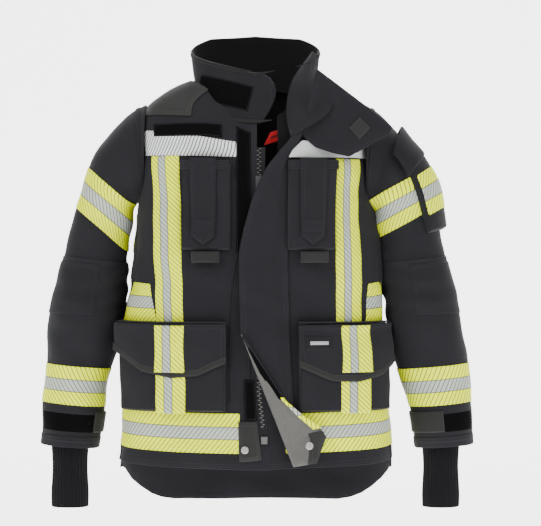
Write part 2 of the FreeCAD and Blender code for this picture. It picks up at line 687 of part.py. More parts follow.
wall_off = size("collar_wall")
collar_outer = collar_solid("collar_outer", "0")
collar_middle = collar_solid("collar_middle", f"-{wall_off}")
collar_gap = collar_solid("collar_gap", f"-{wall_off} - {size('collar_skin')}")
collar_inner = collar_solid("collar_inner", f"-{wall_off} * 2 - {size('collar_skin')}")
slit = box("collar_slit", (size("collar_slit_from"),
                           f"{size('collar_slit_from')} + {size('collar_slit_wide')}"),
           (f"-{reach}", "-40"), across)
keep("collar_shell", cut("collar_cloth", collar_outer, collar_middle, slit))
keep("collar_lining", cut("collar_inside", collar_gap, collar_inner, slit))

hook_outer = collar_solid("hook_outer", size("hook_out"))
hook_inner = collar_solid("hook_inner", size("skin_in"))
hook_ring = cut("hook_ring", hook_outer, hook_inner)
hooks = common("hooks", hook_ring, upright_prism("hook_window", "hook_patch", False))
keep("collar_hook_patch", cut("hooks_clear", hooks, torso_solid("pocket_in")))


def standing_plate(name, shape, y, thick):
    """Flat upright piece facing the front at a given depth."""
    sketch = place(outline(f"{name}_outline", shape), y=y, axis=Vector(1, 0, 0),
                   angle="90")
    return prism(name, sketch, Vector(0, -1, 0), (thick, "0"))


keep("collar_end_left", standing_plate("collar_fold", "left_edge", size("collar_end_y"),
                                       size("collar_end_thick")))
keep("throat_tab", standing_plate("throat", "tab", size("tab_y"), size("tab_thick")))
keep("throat_tab_patch", standing_plate("throat_diamond", "tab_patch",
                                        f"{size('tab_y')} - {size('tab_thick')} - "
                                        f"{size('tab_patch_gap')}",
                                        size("tab_patch_thick")))

loop_y = size("loop_y")
loop_outer = box("hang_outer", (f"-{size('loop_half')}", size("loop_half")),
                 (f"{loop_y} - {size('loop_reach')}", loop_y),
                 (size("loop_height"), f"{size('loop_height')} + {size('loop_tall')}"))
loop_inner = box("hang_inner", (f"-{size('loop_half')} + {size('loop_bar')}",
                                f"{size('loop_half')} - {size('loop_bar')}"),
                 (f"{loop_y} - {size('loop_reach')} + {size('loop_thick')}",
                  f"{loop_y} - {size('loop_thick')}"), across)
keep("hanger_loop", cut("hang_loop", loop_outer, loop_inner))
keep("neck_label", box("label", (f"-{half(size('label_wide'))}", half(size("label_wide"))),
                       (f"{size('label_y')} - {size('label_thick')}", size("label_y")),
                       (size("label_z"), f"{size('label_z')} + {size('label_tall')}")))


# ---------------------------------------------------------------- sleeves

def sleeve_tape(name, sign, centre, turn, stations):
    """Band of reflective tape around a sleeve, cut by a tilted slab."""
    tube = sleeve_layer(f"{name}_tube", sign, size("skin_out"), size("skin_in"), stations)
    slab = tilted_box(f"{name}_slab", centre, (reach, reach, size("tape_wide")), turn)
    return common(name, tube, slab)


TAPE_CENTRES = {"right": ("-286", "-249", "arm_tape_turn_right", "-359", "-593"),
                "left": ("296", "-230", "arm_tape_turn_left", "354", "-590")}


def upper_arm(side, sign):
    """Upper sleeve with its tape."""
    tube = sleeve_layer(f"upper_tube_{side}", sign, "0", size("shell_in"), UPPER_ARM)
    keep(f"upper_sleeve_{side}", tube)
    x, z, turn, _, _ = TAPE_CENTRES[side]
    keep(f"upper_arm_tape_{side}", sleeve_tape(f"arm_band_{side}", sign, (x, "0", z),
                                               f"{-sign} * {size(turn)}", UPPER_ARM))


def forearm(side, sign):
    """Lower sleeve, notched at the front of the elbow so that it can bend."""
    tube = sleeve_layer(f"lower_tube_{side}", sign, "0", size("shell_in"), FOREARM)
    notch = add("Part::Box", f"notch_{side}", Length=reach, Width=size("notch_size"),
                Height=size("notch_size"))
    place(notch, f"{sign} * {size('arm_below_out')} - {reach} / 2",
          f"{size('notch_y')} - {size('notch_size')} * cos({size('notch_angle')} * 1 deg)",
          f"{size('arm_below_height')} + 1.5 - {size('notch_size')} "
          f"* sin({size('notch_angle')} * 1 deg)",
          Vector(1, 0, 0), size("notch_angle"))
    keep(f"lower_sleeve_{side}", cut(f"lower_open_{side}", tube, notch))
    _, _, _, x, z = TAPE_CENTRES[side]
    keep(f"lower_arm_tape_{side}", sleeve_tape(f"fore_band_{side}", sign, (x, "0", z),
                                               f"{-sign} * {size('fore_tape_turn')}",
                                               FOREARM))


def wristlet(side, sign):
    """Knitted wrist cuff that comes out of the sleeve end."""
    rings = []
    for part, shrink in (("outer", "0"), ("inner", size("wrist_wall"))):
        ends = []
        for end in ("top", "foot"):
            ring = add("Part::Ellipse", f"wrist_{part}_{end}_{side}",
                       MajorRadius=f"{size('wrist_wide')} - {shrink}",
                       MinorRadius=f"{size('wrist_deep')} - {shrink}")
            ends.append(place(ring, f"{sign} * {size('wrist_out')}", "0",
                              size(f"wrist_{end}")))
        rings.append(add("Part::Loft", f"wrist_{part}_{side}", Sections=ends, Solid=True,
                         Ruled=True))
    keep(f"wristlet_{side}", cut(f"knit_{side}", *rings))


def cuff(side, sign, strip_reach, tab_reach):
    """Loop strip and closing tab on the cuff."""
    strip_tube = sleeve_layer(f"cuff_tube_{side}", sign, size("skin_out"),
                              size("skin_in"), FOREARM[2:])
    strip_up = (size("cuff_strip_from"),
                f"{size('cuff_strip_from')} + {size('cuff_strip_tall')}")
    keep(f"cuff_loop_strip_{side}", patch(f"cuff_hooks_{side}", strip_tube,
                                          mirrored(sign, *strip_reach), front, strip_up))
    tab_tube = sleeve_layer(f"tab_tube_{side}", sign, size("tab_out"), size("tab_in"),
                            FOREARM[2:])
    tab_up = (size("cuff_tab_from"), f"{size('cuff_tab_from')} + {size('cuff_tab_tall')}")
    keep(f"cuff_tab_{side}", patch(f"cuff_pull_{side}", tab_tube,
                                   mirrored(sign, *tab_reach), (f"-{reach}", "-12"),
                                   tab_up))


for side, sign in SIDES.items():
    upper_arm(side, sign)
    forearm(side, sign)
    wristlet(side, sign)
cuff("right", -1, ("330", "424"), ("296", "322"))
cuff("left", 1, ("372", "424"), ("296", "366"))


def bag_box(stem):
    """Box of the left sleeve pocket, placed by its distances out and along the sleeve."""
    turn = f"({size('bag_turn')} * 1 deg)"
    out = size(f"{stem}_out")
    along = size(f"{stem}_along")
    centre = (f"{out} * cos({turn}) + {along} * sin({turn})", "0",
              f"{out} * sin({turn}) - {along} * cos({turn})")
    sizes = tuple(size(f"{stem}_{kind}") for kind in ("wide", "deep", "tall"))
    return tilted_box(f"{stem}_box", centre, sizes, f"-{size('bag_turn')}")


def sleeve_bag():
    """Flat-fronted pocket on the outside of the left upper arm, with its flap."""
    arm = sleeve_solid("bag_back", 1, size("pocket_in"), UPPER_ARM[1:])
    bag = keep("sleeve_pocket", cut("bag_open", bag_box("bag"), bag_box("hollow"), arm))
    bag.Refine = False
    keep("sleeve_pocket_flap", bag_box("lid"))


sleeve_bag()


# ---------------------------------------------------------------- finish

doc.recompute()
broken = [thing.Name for thing in doc.Objects
          if "Invalid" in thing.State or "Error" in thing.State]
if broken:
    raise RuntimeError(f"objects in error: {broken}")

os.makedirs("parts", exist_ok=True)
for name, piece in pieces.items():
    shape = piece.Shape
    if shape.isNull() or not shape.isValid() or not shape.Solids:
        raise RuntimeError(f"{name} has no valid solid")
    shape.exportStep(f"parts/{name}.step")
    low, high = shape.BoundBox, shape.Volume
    print(f"{name:24s} solids {len(shape.Solids)} volume {high:10.0f}  "
          f"x {low.XMin:7.1f} {low.XMax:7.1f}  y {low.YMin:7.1f} {low.YMax:7.1f}  "
          f"z {low.ZMin:7.1f} {low.ZMax:7.1f}")
print(len(pieces), "pieces")
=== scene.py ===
import math

import bpy
import numpy as np
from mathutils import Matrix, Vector


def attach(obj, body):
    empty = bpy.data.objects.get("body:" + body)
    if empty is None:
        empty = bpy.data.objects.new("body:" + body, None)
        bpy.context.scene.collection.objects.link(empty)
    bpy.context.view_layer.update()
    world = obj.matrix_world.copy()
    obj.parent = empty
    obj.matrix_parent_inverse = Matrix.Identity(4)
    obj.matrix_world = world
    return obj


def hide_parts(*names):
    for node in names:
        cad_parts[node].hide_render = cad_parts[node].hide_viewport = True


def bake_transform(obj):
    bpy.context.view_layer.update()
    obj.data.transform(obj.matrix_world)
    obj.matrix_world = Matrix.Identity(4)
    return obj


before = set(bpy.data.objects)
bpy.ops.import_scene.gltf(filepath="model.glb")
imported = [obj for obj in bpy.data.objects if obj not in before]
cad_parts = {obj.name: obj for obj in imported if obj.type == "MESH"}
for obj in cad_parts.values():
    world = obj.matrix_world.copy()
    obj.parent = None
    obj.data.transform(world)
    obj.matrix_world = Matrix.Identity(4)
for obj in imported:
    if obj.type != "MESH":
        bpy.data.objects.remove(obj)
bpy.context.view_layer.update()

ROOT = "coat_body"
LEFT = 1
RIGHT = -1
SIDE_NAME = {RIGHT: "right", LEFT: "left"}
FORWARD = np.array([0, -1.0, 0])
TAPE_WIDTH = 0.075
BRACE_WIDTH = 0.05
FULL_TURN = (0, 2 * math.pi)


# ------------------------------------------------------------------ materials

class Graph:
    """Small helper that adds shader nodes and joins them."""

    def __init__(self, name, rough, **fixed):
        self.material = bpy.data.materials.new(name)
        self.material.use_nodes = True
        self.tree = self.material.node_tree
        self.shader = self.tree.nodes["Principled BSDF"]
        self.shader.inputs["Roughness"].default_value = rough
        for socket, value in fixed.items():
            self.shader.inputs[socket.replace("_", " ")].default_value = value

    def node(self, kind, **settings):
        made = self.tree.nodes.new(kind)
        for key, value in settings.items():
            setattr(made, key, value)
        return made

    def link(self, source, target):
        self.tree.links.new(source, target)

    def math(self, operation, first, second=None):
        made = self.node("ShaderNodeMath", operation=operation)
        for number, value in enumerate((first, second)):
            if value is None:
                continue
            if isinstance(value, (int, float)):
                made.inputs[number].default_value = value
            else:
                self.link(value, made.inputs[number])
        return made.outputs[0]

    def mix(self, factor, first, second):
        made = self.node("ShaderNodeMix", data_type="RGBA")
        for number, value in ((0, factor), (6, first), (7, second)):
            if isinstance(value, (int, float)):
                made.inputs[number].default_value = value
            elif isinstance(value, tuple):
                made.inputs[number].default_value = (*value, 1)
            else:
                self.link(value, made.inputs[number])
        return made.outputs[2]

    def noise(self, scale, detail=3, where=None):
        made = self.node("ShaderNodeTexNoise")
        made.inputs["Scale"].default_value = scale
        made.inputs["Detail"].default_value = detail
        if where is None:
            where = self.node("ShaderNodeTexCoord").outputs["Object"]
        self.link(where, made.inputs["Vector"])
        return made.outputs["Fac"]

    def uv(self):
        mapped = self.node("ShaderNodeUVMap", uv_map="cloth")
        parts = self.node("ShaderNodeSeparateXYZ")
        self.link(mapped.outputs["UV"], parts.inputs[0])
        return parts.outputs[0], parts.outputs[1]

    def edge(self):
        return self.node("ShaderNodeAttribute", attribute_name="edge").outputs["Fac"]

    def below(self, value, limit):
        return self.math("LESS_THAN", value, limit)

    def repeat(self, value, pitch):
        return self.math("FRACT", self.math("DIVIDE", value, pitch))

    def band(self, value, centre, half):
        away = self.math("ABSOLUTE", self.math("SUBTRACT", value, centre))
        return self.below(away, half)

    def stitches(self, along, rows, half=0.0006):
        """Mask of dashed sewing rows at given distances from the piece's edge."""
        dash = self.below(self.repeat(along, 0.0042), 0.68)
        total = None
        for row in rows:
            line = self.band(self.edge(), row, half)
            total = line if total is None else self.math("MAXIMUM", total, line)
        return self.math("MULTIPLY", total, dash)

    def bump(self, height, strength, distance=0.001):
        made = self.node("ShaderNodeBump")
        made.inputs["Strength"].default_value = strength
        made.inputs["Distance"].default_value = distance
        self.link(height, made.inputs["Height"])
        self.link(made.outputs[0], self.shader.inputs["Normal"])

    def colour(self, source):
        self.link(source, self.shader.inputs["Base Color"])
        return self.material


def scaled(colour, factor):
    return tuple(channel * factor for channel in colour)


def cloth(name, colour, rows=(), ripstop=0.0052, rough=0.85, sheen=0.03):
    """Dark ripstop weave with dust, wear and sewing rows."""
    graph = Graph(name, rough, Sheen_Weight=sheen, Sheen_Roughness=0.55,
                  Specular_IOR_Level=0.16)
    u, v = graph.uv()
    clouds = graph.noise(11, 4)
    tone = graph.mix(clouds, scaled(colour, 0.72), scaled(colour, 1.3))
    fibre = graph.noise(900, 2)
    tone = graph.mix(graph.math("MULTIPLY", fibre, 0.35), tone, scaled(colour, 1.9))
    cell = graph.math("MAXIMUM", graph.below(graph.repeat(u, ripstop), 0.16),
                      graph.below(graph.repeat(v, ripstop), 0.16))
    tone = graph.mix(graph.math("MULTIPLY", cell, 0.22), tone, scaled(colour, 2.2))
    height = graph.math("ADD", graph.math("MULTIPLY", fibre, 0.5),
                        graph.math("MULTIPLY", cell, 0.5))
    if rows:
        sewn = graph.stitches(graph.math("ADD", u, v), rows)
        tone = graph.mix(graph.math("MULTIPLY", sewn, 0.55), tone, scaled(colour, 3.2))
        groove = graph.band(graph.edge(), rows[0], 0.0016)
        height = graph.math("SUBTRACT", height, graph.math("MULTIPLY", groove, 1.2))
    graph.bump(height, 0.45)
    return graph.colour(tone)


def tape(name, yellow=True, width=TAPE_WIDTH, slant=1.0):
    """Reflective tape: bands across the width, broken by fine dark diagonals."""
    graph = Graph(name, 0.6, Specular_IOR_Level=0.12)
    u, v = graph.uv()
    silver = (0.36, 0.39, 0.34)
    grain = graph.noise(500, 2)
    bright = graph.mix(grain, scaled(silver, 0.8), scaled(silver, 1.2))
    if yellow:
        lime = (0.80, 0.90, 0.0)
        lime_tone = graph.mix(graph.noise(30, 3), scaled(lime, 0.86), lime)
        middle = graph.band(v, width / 2, width * 0.158)
        tone = graph.mix(middle, lime_tone, bright)
        pitch = 0.0092
        dark_part = 0.17
        border = graph.math("MAXIMUM", graph.band(v, width * 0.34, 0.0006),
                            graph.band(v, width * 0.66, 0.0006))
    else:
        tone = graph.mix(grain, (0.52, 0.53, 0.54), (0.74, 0.75, 0.76))
        pitch = 0.0066
        dark_part = 0.3
        border = None
    lean = graph.math("ADD", u, graph.math("MULTIPLY", v, slant))
    line = graph.below(graph.repeat(lean, pitch), dark_part)
    if border is not None:
        line = graph.math("MAXIMUM", line, border)
    tone = graph.mix(graph.math("MULTIPLY", line, 0.94), tone, (0.012, 0.016, 0.004))
    sewn = graph.stitches(graph.math("ADD", u, v), (0.0018,), 0.0004)
    tone = graph.mix(graph.math("MULTIPLY", sewn, 0.4), tone, (0.2, 0.22, 0.05))
    height = graph.math("SUBTRACT", graph.math("MULTIPLY", grain, 0.2), line)
    graph.bump(height, 0.3, 0.0004)
    return graph.colour(tone)


def pile(name, colour):
    """Hook or loop fastener pile."""
    graph = Graph(name, 0.95, Specular_IOR_Level=0.05)
    fuzz = graph.noise(700, 4)
    tone = graph.mix(fuzz, scaled(colour, 0.3), scaled(colour, 2.2))
    sewn = graph.stitches(graph.math("ADD", *graph.uv()), (0.002,))
    tone = graph.mix(graph.math("MULTIPLY", sewn, 0.6), tone, (0.03, 0.03, 0.034))
    graph.bump(fuzz, 0.9, 0.0016)
    return graph.colour(tone)


def knit(name, colour):
    """Ribbed knit: ribs run along the length."""
    graph = Graph(name, 0.93, Sheen_Weight=0.02, Specular_IOR_Level=0.08)
    u, v = graph.uv()
    rib = graph.math("SINE", graph.math("MULTIPLY", u, 2 * math.pi / 0.0034))
    loop = graph.math("SINE", graph.math("MULTIPLY", v, 2 * math.pi / 0.0022))
    height = graph.math("ADD", rib, graph.math("MULTIPLY", loop, 0.3))
    # The tone follows the rib height: painted shade in the rib troughs and a painted highlight
    # on the rib crests, on top of the bump.
    tone = graph.mix(graph.math("MULTIPLY", graph.math("ADD", height, 1.3), 0.38),
                     scaled(colour, 0.55), scaled(colour, 1.5))
    graph.bump(height, 0.6, 0.0009)
    return graph.colour(tone)


def lining(name, colour):
    """Grey brushed lining with a soft mottled face."""
    graph = Graph(name, 0.9, Sheen_Weight=0.03, Specular_IOR_Level=0.1)
    mottle = graph.noise(420, 5)
    tone = graph.mix(mottle, scaled(colour, 0.6), scaled(colour, 1.5))
    tone = graph.mix(graph.math("MULTIPLY", graph.noise(14, 3), 0.4), tone,
                     scaled(colour, 0.7))
    graph.bump(mottle, 0.5)
    return graph.colour(tone)


def metal(name, colour, rough):
    """Worn metal with fine scratches."""
    graph = Graph(name, rough, Metallic=1.0)
    wear = graph.noise(240, 5)
    tone = graph.mix(wear, scaled(colour, 0.6), scaled(colour, 1.2))
    graph.bump(wear, 0.15, 0.0004)
    return graph.colour(tone)


def woven_label(name, ground, figure):
    """Woven label: plain ground with a few generic bars in place of lettering."""
    graph = Graph(name, 0.7, Specular_IOR_Level=0.2)
    u, v = graph.uv()
    thread = graph.noise(800, 2)
    tone = graph.mix(thread, scaled(ground, 0.75), scaled(ground, 1.25))
    bar = graph.math("MULTIPLY", graph.band(v, 0.5, 0.12), graph.band(u, 0.5, 0.33))
    tone = graph.mix(graph.math("MULTIPLY", bar, 0.8), tone, figure)
    graph.bump(thread, 0.4, 0.0005)
    return graph.colour(tone)


NAVY = (0.0066, 0.0065, 0.0083)
MOSS = (0.0125, 0.0128, 0.0122)
shell_cloth = cloth("shell_cloth", NAVY, rows=(0.0035, 0.009))
edge_cloth = cloth("edge_cloth", scaled(NAVY, 0.9), rows=(0.003, 0.008), ripstop=0.004)
wear_cloth = cloth("wear_cloth", MOSS, rows=(0.0025, 0.007), ripstop=0.0028, rough=0.7)
trim_cloth = cloth("trim_cloth", scaled(MOSS, 0.9), rows=(0.0025,), ripstop=0.0024)
grey_lining = lining("grey_lining", (0.085, 0.083, 0.078))
dark_lining = lining("dark_lining", (0.003, 0.003, 0.0035))
lime_tape = tape("lime_tape", slant=0.75)
lime_tape_back = tape("lime_tape_mirrored", slant=-0.75)
brace_tape = tape("brace_tape", width=BRACE_WIDTH, slant=-0.9)
white_tape = tape("white_tape", yellow=False, slant=0.7)
hook_pile = pile("hook_pile", (0.0015, 0.0015, 0.0017))
wrist_knit = knit("wrist_knit", (0.006, 0.006, 0.007))
tooth_metal = metal("tooth_metal", (0.16, 0.155, 0.15), 0.38)
slider_metal = metal("slider_metal", (0.09, 0.09, 0.095), 0.4)
snap_metal = metal("snap_metal", (0.62, 0.6, 0.57), 0.3)
red_label = woven_label("red_label", (0.42, 0.012, 0.016), (0.02, 0.01, 0.01))
badge_cloth = woven_label("badge_cloth", (0.004, 0.004, 0.005), (0.35, 0.36, 0.37))
tag_cloth = woven_label("tag_cloth", (0.003, 0.003, 0.003), (0.2, 0.17, 0.08))


# ------------------------------------------------------------------ body shape

def smoothed(heights, values, step=0.002, span=0.03):
    """Lookup table of a size against height, with the corners rounded off."""
    grid = np.arange(heights[0], heights[-1] + step / 2, step)
    dense = np.interp(grid, heights, values)
    reach = int(span / step)
    kernel = np.hanning(2 * reach + 1)
    first = dense[0] - (dense[1] - dense[0]) * np.arange(reach, 0, -1)
    last = dense[-1] + (dense[-1] - dense[-2]) * np.arange(1, reach + 1)
    padded = np.concatenate([first, dense, last])
    return grid, np.convolve(padded, kernel / kernel.sum(), mode="valid")


LEVELS = (-0.85, -0.743, -0.42, -0.3, -0.11, -0.038, 0.014)
HALF_WIDTHS = (0.274, 0.268, 0.246, 0.238, 0.225, 0.215, 0.094)
HALF_DEPTHS = (0.1595, 0.155, 0.1412, 0.1361, 0.128, 0.086, 0.073)
WIDTH_TABLE = smoothed(LEVELS, HALF_WIDTHS)
DEPTH_TABLE = smoothed(LEVELS, HALF_DEPTHS)
ROUNDNESS = 2.6


def unit_outline():
    """Quarter-symmetric rounded outline, sampled by its length from the front."""
    turn = np.linspace(0, math.pi, 1601)
    across = np.sign(np.sin(turn)) * np.abs(np.sin(turn)) ** (2 / ROUNDNESS)
    along = -np.sign(np.cos(turn)) * np.abs(np.cos(turn)) ** (2 / ROUNDNESS)
    steps = np.hypot(np.diff(across) * 0.245, np.diff(along) * 0.14)
    run = np.concatenate([[0], np.cumsum(steps)])
    return run / run[-1], across, along


RUN, ACROSS, ALONG = unit_outline()
FRONT_HALF = RUN <= 0.5


def rumple(points, size=1.0, seed=3):
    """Soft stand-off of worn cloth at each point, in metres."""
    dice = np.random.default_rng(seed)
    flat = points.reshape(-1, 3)
    total = np.zeros(len(flat))
    for wave in (0.34, 0.23, 0.16, 0.115, 0.08, 0.055):
        for _ in range(2):
            way = dice.normal(size=3)
            way[2] *= 0.6
            way *= 2 * math.pi / (wave * np.linalg.norm(way))
            phase = dice.uniform(0, 2 * math.pi)
            bend = 0.9 * np.sin(flat @ dice.normal(size=3) * 9 + phase)
            total += np.sin(flat @ way + phase + bend) * wave ** 1.15
    return (total * 0.011 * size).reshape(points.shape[:-1])


def gradient_normals(points):
    """Unit normals of a grid of points."""
    first = np.gradient(points, axis=0)
    second = np.gradient(points, axis=1)
    normal = np.cross(first, second)
    length = np.linalg.norm(normal, axis=-1, keepdims=True)
    return normal / np.maximum(length, 1e-12)


def body_base(run, height):
    """Point of the plain torso; run is 0 at the front, +-0.5 at a side, +-1 behind."""
    wide = np.interp(height, *WIDTH_TABLE)
    deep = np.interp(height, *DEPTH_TABLE)
    part = np.abs(run)
    x = np.sign(run) * wide * np.interp(part, RUN, ACROSS)
    y = deep * np.interp(part, RUN, ALONG)
    return np.stack([x, y, height + 0 * x], axis=-1)


def body_surface(run, height, off=0.0, folds=1.0):
    """Torso cloth at a stand-off, wrinkles included."""
    step = 0.002
    here = body_base(run, height)
    along = body_base(run + step, height) - body_base(run - step, height)
    up = body_base(run, height + step) - body_base(run, height - step)
    normal = np.cross(along, up)
    normal /= np.maximum(np.linalg.norm(normal, axis=-1, keepdims=True), 1e-12)
    relief = folds * rumple(here) + body_folds(here) * folds
    return here + normal * (np.asarray(off) + relief)[..., None]


def ridge(distance, width):
    """Rounded fold profile across its own line."""
    return np.exp(-(distance / width) ** 2)


def body_folds(points):
    """The larger folds: hanging waves at the hem and creases at the waist."""
    x, y, z = points[..., 0], points[..., 1], points[..., 2]
    low = np.clip((-0.35 - z) / 0.4, 0, 1) ** 1.5
    hem = 0.0045 * low * np.sin(x * 26 + 1.2) * np.where(y < 0, 1, 0.9)
    waist = -0.004 * ridge(z + 0.44 + 0.05 * np.sin(x * 9), 0.02)
    chest = 0.003 * ridge(z + 0.22 - 0.25 * np.abs(x), 0.03)
    return hem + waist + chest


def run_at(x, height):
    """Run of the front point at a sideways place."""
    wide = np.interp(height, *WIDTH_TABLE)
    share = np.clip(np.abs(x) / wide, 0, 1)
    return np.sign(x) * np.interp(share, ACROSS[FRONT_HALF], RUN[FRONT_HALF])


def front_surface(x, height, off=0.0, folds=1.0):
    """Front cloth at a sideways place and height."""
    return body_surface(run_at(x, height), height, off, folds)


# ------------------------------------------------------------------ meshes

def spans(points):
    """Lengths run along a grid in both directions."""
    down = np.linalg.norm(np.diff(points, axis=0), axis=-1)
    right = np.linalg.norm(np.diff(points, axis=1), axis=-1)
    rows = np.concatenate([np.zeros((1, points.shape[1])), np.cumsum(down, axis=0)])
    columns = np.concatenate([np.zeros((points.shape[0], 1)),
                              np.cumsum(right, axis=1)], axis=1)
    return rows, columns


def edge_distance(points, sides):
    """Distance of each grid point from the chosen sides of the piece."""
    rows, columns = spans(points)
    far = np.full(points.shape[:2], 1.0)
    options = {"t": rows, "b": rows[-1:] - rows, "l": columns,
               "r": columns[:, -1:] - columns}
    for side in sides:
        far = np.minimum(far, options[side])
    return far


def grid_quads(rows, columns):
    """Quads of a grid of vertices."""
    index = np.arange(rows * columns).reshape(rows, columns)
    return np.stack([index[:-1, :-1], index[:-1, 1:], index[1:, 1:], index[1:, :-1]],
                    axis=-1).reshape(-1, 4)


def border_ring(rows, columns):
    """Border vertices in order, each with its inner neighbour."""
    ring = [(0, j, 1, j) for j in range(columns - 1)]
    ring += [(i, columns - 1, i, columns - 2) for i in range(rows - 1)]
    ring += [(rows - 1, j, rows - 2, j) for j in range(columns - 1, 0, -1)]
    ring += [(i, 0, i, 1) for i in range(rows - 1, 0, -1)]
    return np.array(ring)


def new_mesh(name, vertices, faces, uvs, edges, inner_from=None):
    """Mesh object with its cloth map and edge distance."""
    mesh = bpy.data.meshes.new(name)
    mesh.from_pydata([tuple(v) for v in vertices], [], [tuple(f) for f in faces])
    layer = mesh.uv_layers.new(name="cloth")
    loops = np.empty(len(mesh.loops), dtype=int)
    mesh.loops.foreach_get("vertex_index", loops)
    layer.data.foreach_set("uv", np.asarray(uvs)[loops].astype(np.float32).ravel())
    store = mesh.attributes.new("edge", "FLOAT", "POINT")
    store.data.foreach_set("value", np.asarray(edges, dtype=np.float32))
    mesh.polygons.foreach_set("use_smooth", [True] * len(mesh.polygons))
    if inner_from is not None:
        second = np.zeros(len(mesh.polygons), dtype=int)
        second[inner_from[0]:inner_from[1]] = 1
        mesh.polygons.foreach_set("material_index", second)
    mesh.set_sharp_from_angle(angle=math.radians(50))
    mesh.validate()
    made = bpy.data.objects.new(f"{name}_piece", mesh)
    bpy.context.scene.collection.objects.link(made)
    return made


def cloth_piece(name, points, material, thick=0.002, uv=None, sides="lrtb", out=None,
                inside=None, body=ROOT, nodes=(), slot=None):
    """Sheet of cloth with a real thickness and rolled edges, from a grid of points."""
    rows, columns = points.shape[:2]
    normal = gradient_normals(points)
    if out is None:
        out = np.zeros(3) + points
        out[..., 2] = 0
    if np.sum(normal * out) < 0:
        points = points[:, ::-1]
        normal = -normal[:, ::-1]
        uv = None if uv is None else uv[:, ::-1]
        sides = sides.translate(str.maketrans("lr", "rl"))
    if uv is None:
        down, right = spans(points)
        uv = np.stack([right, down], axis=-1)
    lower = points - normal * np.asarray(thick)[..., None]
    ring = border_ring(rows, columns)
    edge = points[ring[:, 0], ring[:, 1]]
    outward = edge - points[ring[:, 2], ring[:, 3]]
    outward /= np.maximum(np.linalg.norm(outward, axis=-1, keepdims=True), 1e-9)
    gap = np.linalg.norm(edge - lower[ring[:, 0], ring[:, 1]], axis=-1, keepdims=True)
    middle = (edge + lower[ring[:, 0], ring[:, 1]]) / 2 + outward * gap * 0.42
    count = rows * columns
    vertices = np.concatenate([points.reshape(-1, 3), lower.reshape(-1, 3), middle])
    top = grid_quads(rows, columns)
    bottom = top[:, ::-1] + count
    border = ring[:, 0] * columns + ring[:, 1]
    following = np.roll(border, -1)
    mid = 2 * count + np.arange(len(ring))
    mid_next = np.roll(mid, -1)
    rim_top = np.stack([border, mid, mid_next, following], axis=-1)
    rim_low = np.stack([mid, border + count, following + count, mid_next], axis=-1)
    faces = np.concatenate([top, bottom, rim_top, rim_low])
    faces = faces[:, ::-1] if not facing(points, top, normal) else faces
    flat_uv = uv.reshape(-1, 2)
    uvs = np.concatenate([flat_uv, flat_uv, flat_uv[border]])
    far = edge_distance(points, sides).ravel() if sides else np.full(count, 1.0)
    edges = np.concatenate([far, far, far[border]])
    span = (len(top), 2 * len(top)) if inside else None
    made = new_mesh(name, vertices, faces, uvs, edges, span)
    made.data.materials.append(material)
    if inside:
        made.data.materials.append(inside)
    return finish_piece(made, body, nodes)


def facing(points, quads, normal):
    """True if the quads wind the same way as the normals."""
    flat = points.reshape(-1, 3)
    middle = quads[len(quads) // 2]
    a, b, c = (flat[middle[k]] for k in range(3))
    return np.dot(np.cross(b - a, c - a), normal.reshape(-1, 3)[middle[0]]) > 0


def finish_piece(made, body, nodes):
    """Join a piece to its body; a piece given a pair of bodies only has its place baked into its
    mesh and is joined to none.
    """
    if isinstance(body, str):
        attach(made, body)
    else:
        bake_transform(made)
    if nodes:
        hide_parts(*nodes)
    return made


def lines(start, end, count, border=0.006):
    """Grid lines between two limits, closer together next to both borders."""
    span = end - start
    inner = np.linspace(0, 1, count)
    near = min(abs(border / span), 0.2) if span else 0
    extra = np.array([near * 0.2, near * 0.5, near])
    shares = np.unique(np.concatenate([inner, extra, 1 - extra]).round(6))
    return start + span * shares


def resample(corners, count, smooth=False):
    """Points evenly spaced along a path through the corners."""
    corners = np.asarray(corners, dtype=float)
    lengths = np.linalg.norm(np.diff(corners, axis=0), axis=-1)
    run = np.concatenate([[0], np.cumsum(lengths)])
    run /= run[-1]
    shares = np.linspace(0, 1, count)
    if not smooth:
        return np.stack([np.interp(shares, run, corners[:, k])
                         for k in range(corners.shape[1])], axis=-1)
    padded = np.vstack([2 * corners[0] - corners[1], corners,
                        2 * corners[-1] - corners[-2]])
    found = []
    for share in shares:
        k = min(np.searchsorted(run, share, side="right") - 1, len(corners) - 2)
        t = (share - run[k]) / (run[k + 1] - run[k])
        p0, p1, p2, p3 = padded[k:k + 4]
        found.append(0.5 * (2 * p1 + (p2 - p0) * t + (2 * p0 - 5 * p1 + 4 * p2 - p3) * t ** 2
                            + (3 * p1 - p0 - 3 * p2 + p3) * t ** 3))
    return np.array(found)


def coons(top, bottom, left, right, size=(30, 30), smooth=False):
    """Grid that fills four border paths; top and bottom run left to right."""
    rows, columns = size
    upper = resample(top, columns, smooth)
    lower = resample(bottom, columns, smooth)
    near = resample(left, rows, smooth)
    far = resample(right, rows, smooth)
    u = np.linspace(0, 1, columns)[None, :, None]
    v = np.linspace(0, 1, rows)[:, None, None]
    ruled = (1 - v) * upper[None] + v * lower[None] + (1 - u) * near[:, None] \
        + u * far[:, None]
    corner = ((1 - u) * (1 - v) * upper[0] + u * (1 - v) * upper[-1]
              + (1 - u) * v * lower[0] + u * v * lower[-1])
    return ruled - corner


def crown(shape, rows, columns, border=3):
    """1 in the middle of a grid and 0 on its border, rounded at the edge."""
    i = np.minimum(np.arange(rows), np.arange(rows)[::-1])[:, None] / border
    j = np.minimum(np.arange(columns), np.arange(columns)[::-1])[None, :] / border
    near = np.clip(np.minimum(i, j), 0, 1)
    return shape * np.sin(near * math.pi / 2)


def front_patch(name, x_limits, z_limits, base, top, material, size=(24, 24), **extra):
    """Rectangular piece laid on the front; z_limits run from its top to its foot."""
    x, z = np.meshgrid(lines(*x_limits, size[1]), lines(*z_limits, size[0]))
    return laid_piece(name, x, z, base, top, material, **extra)


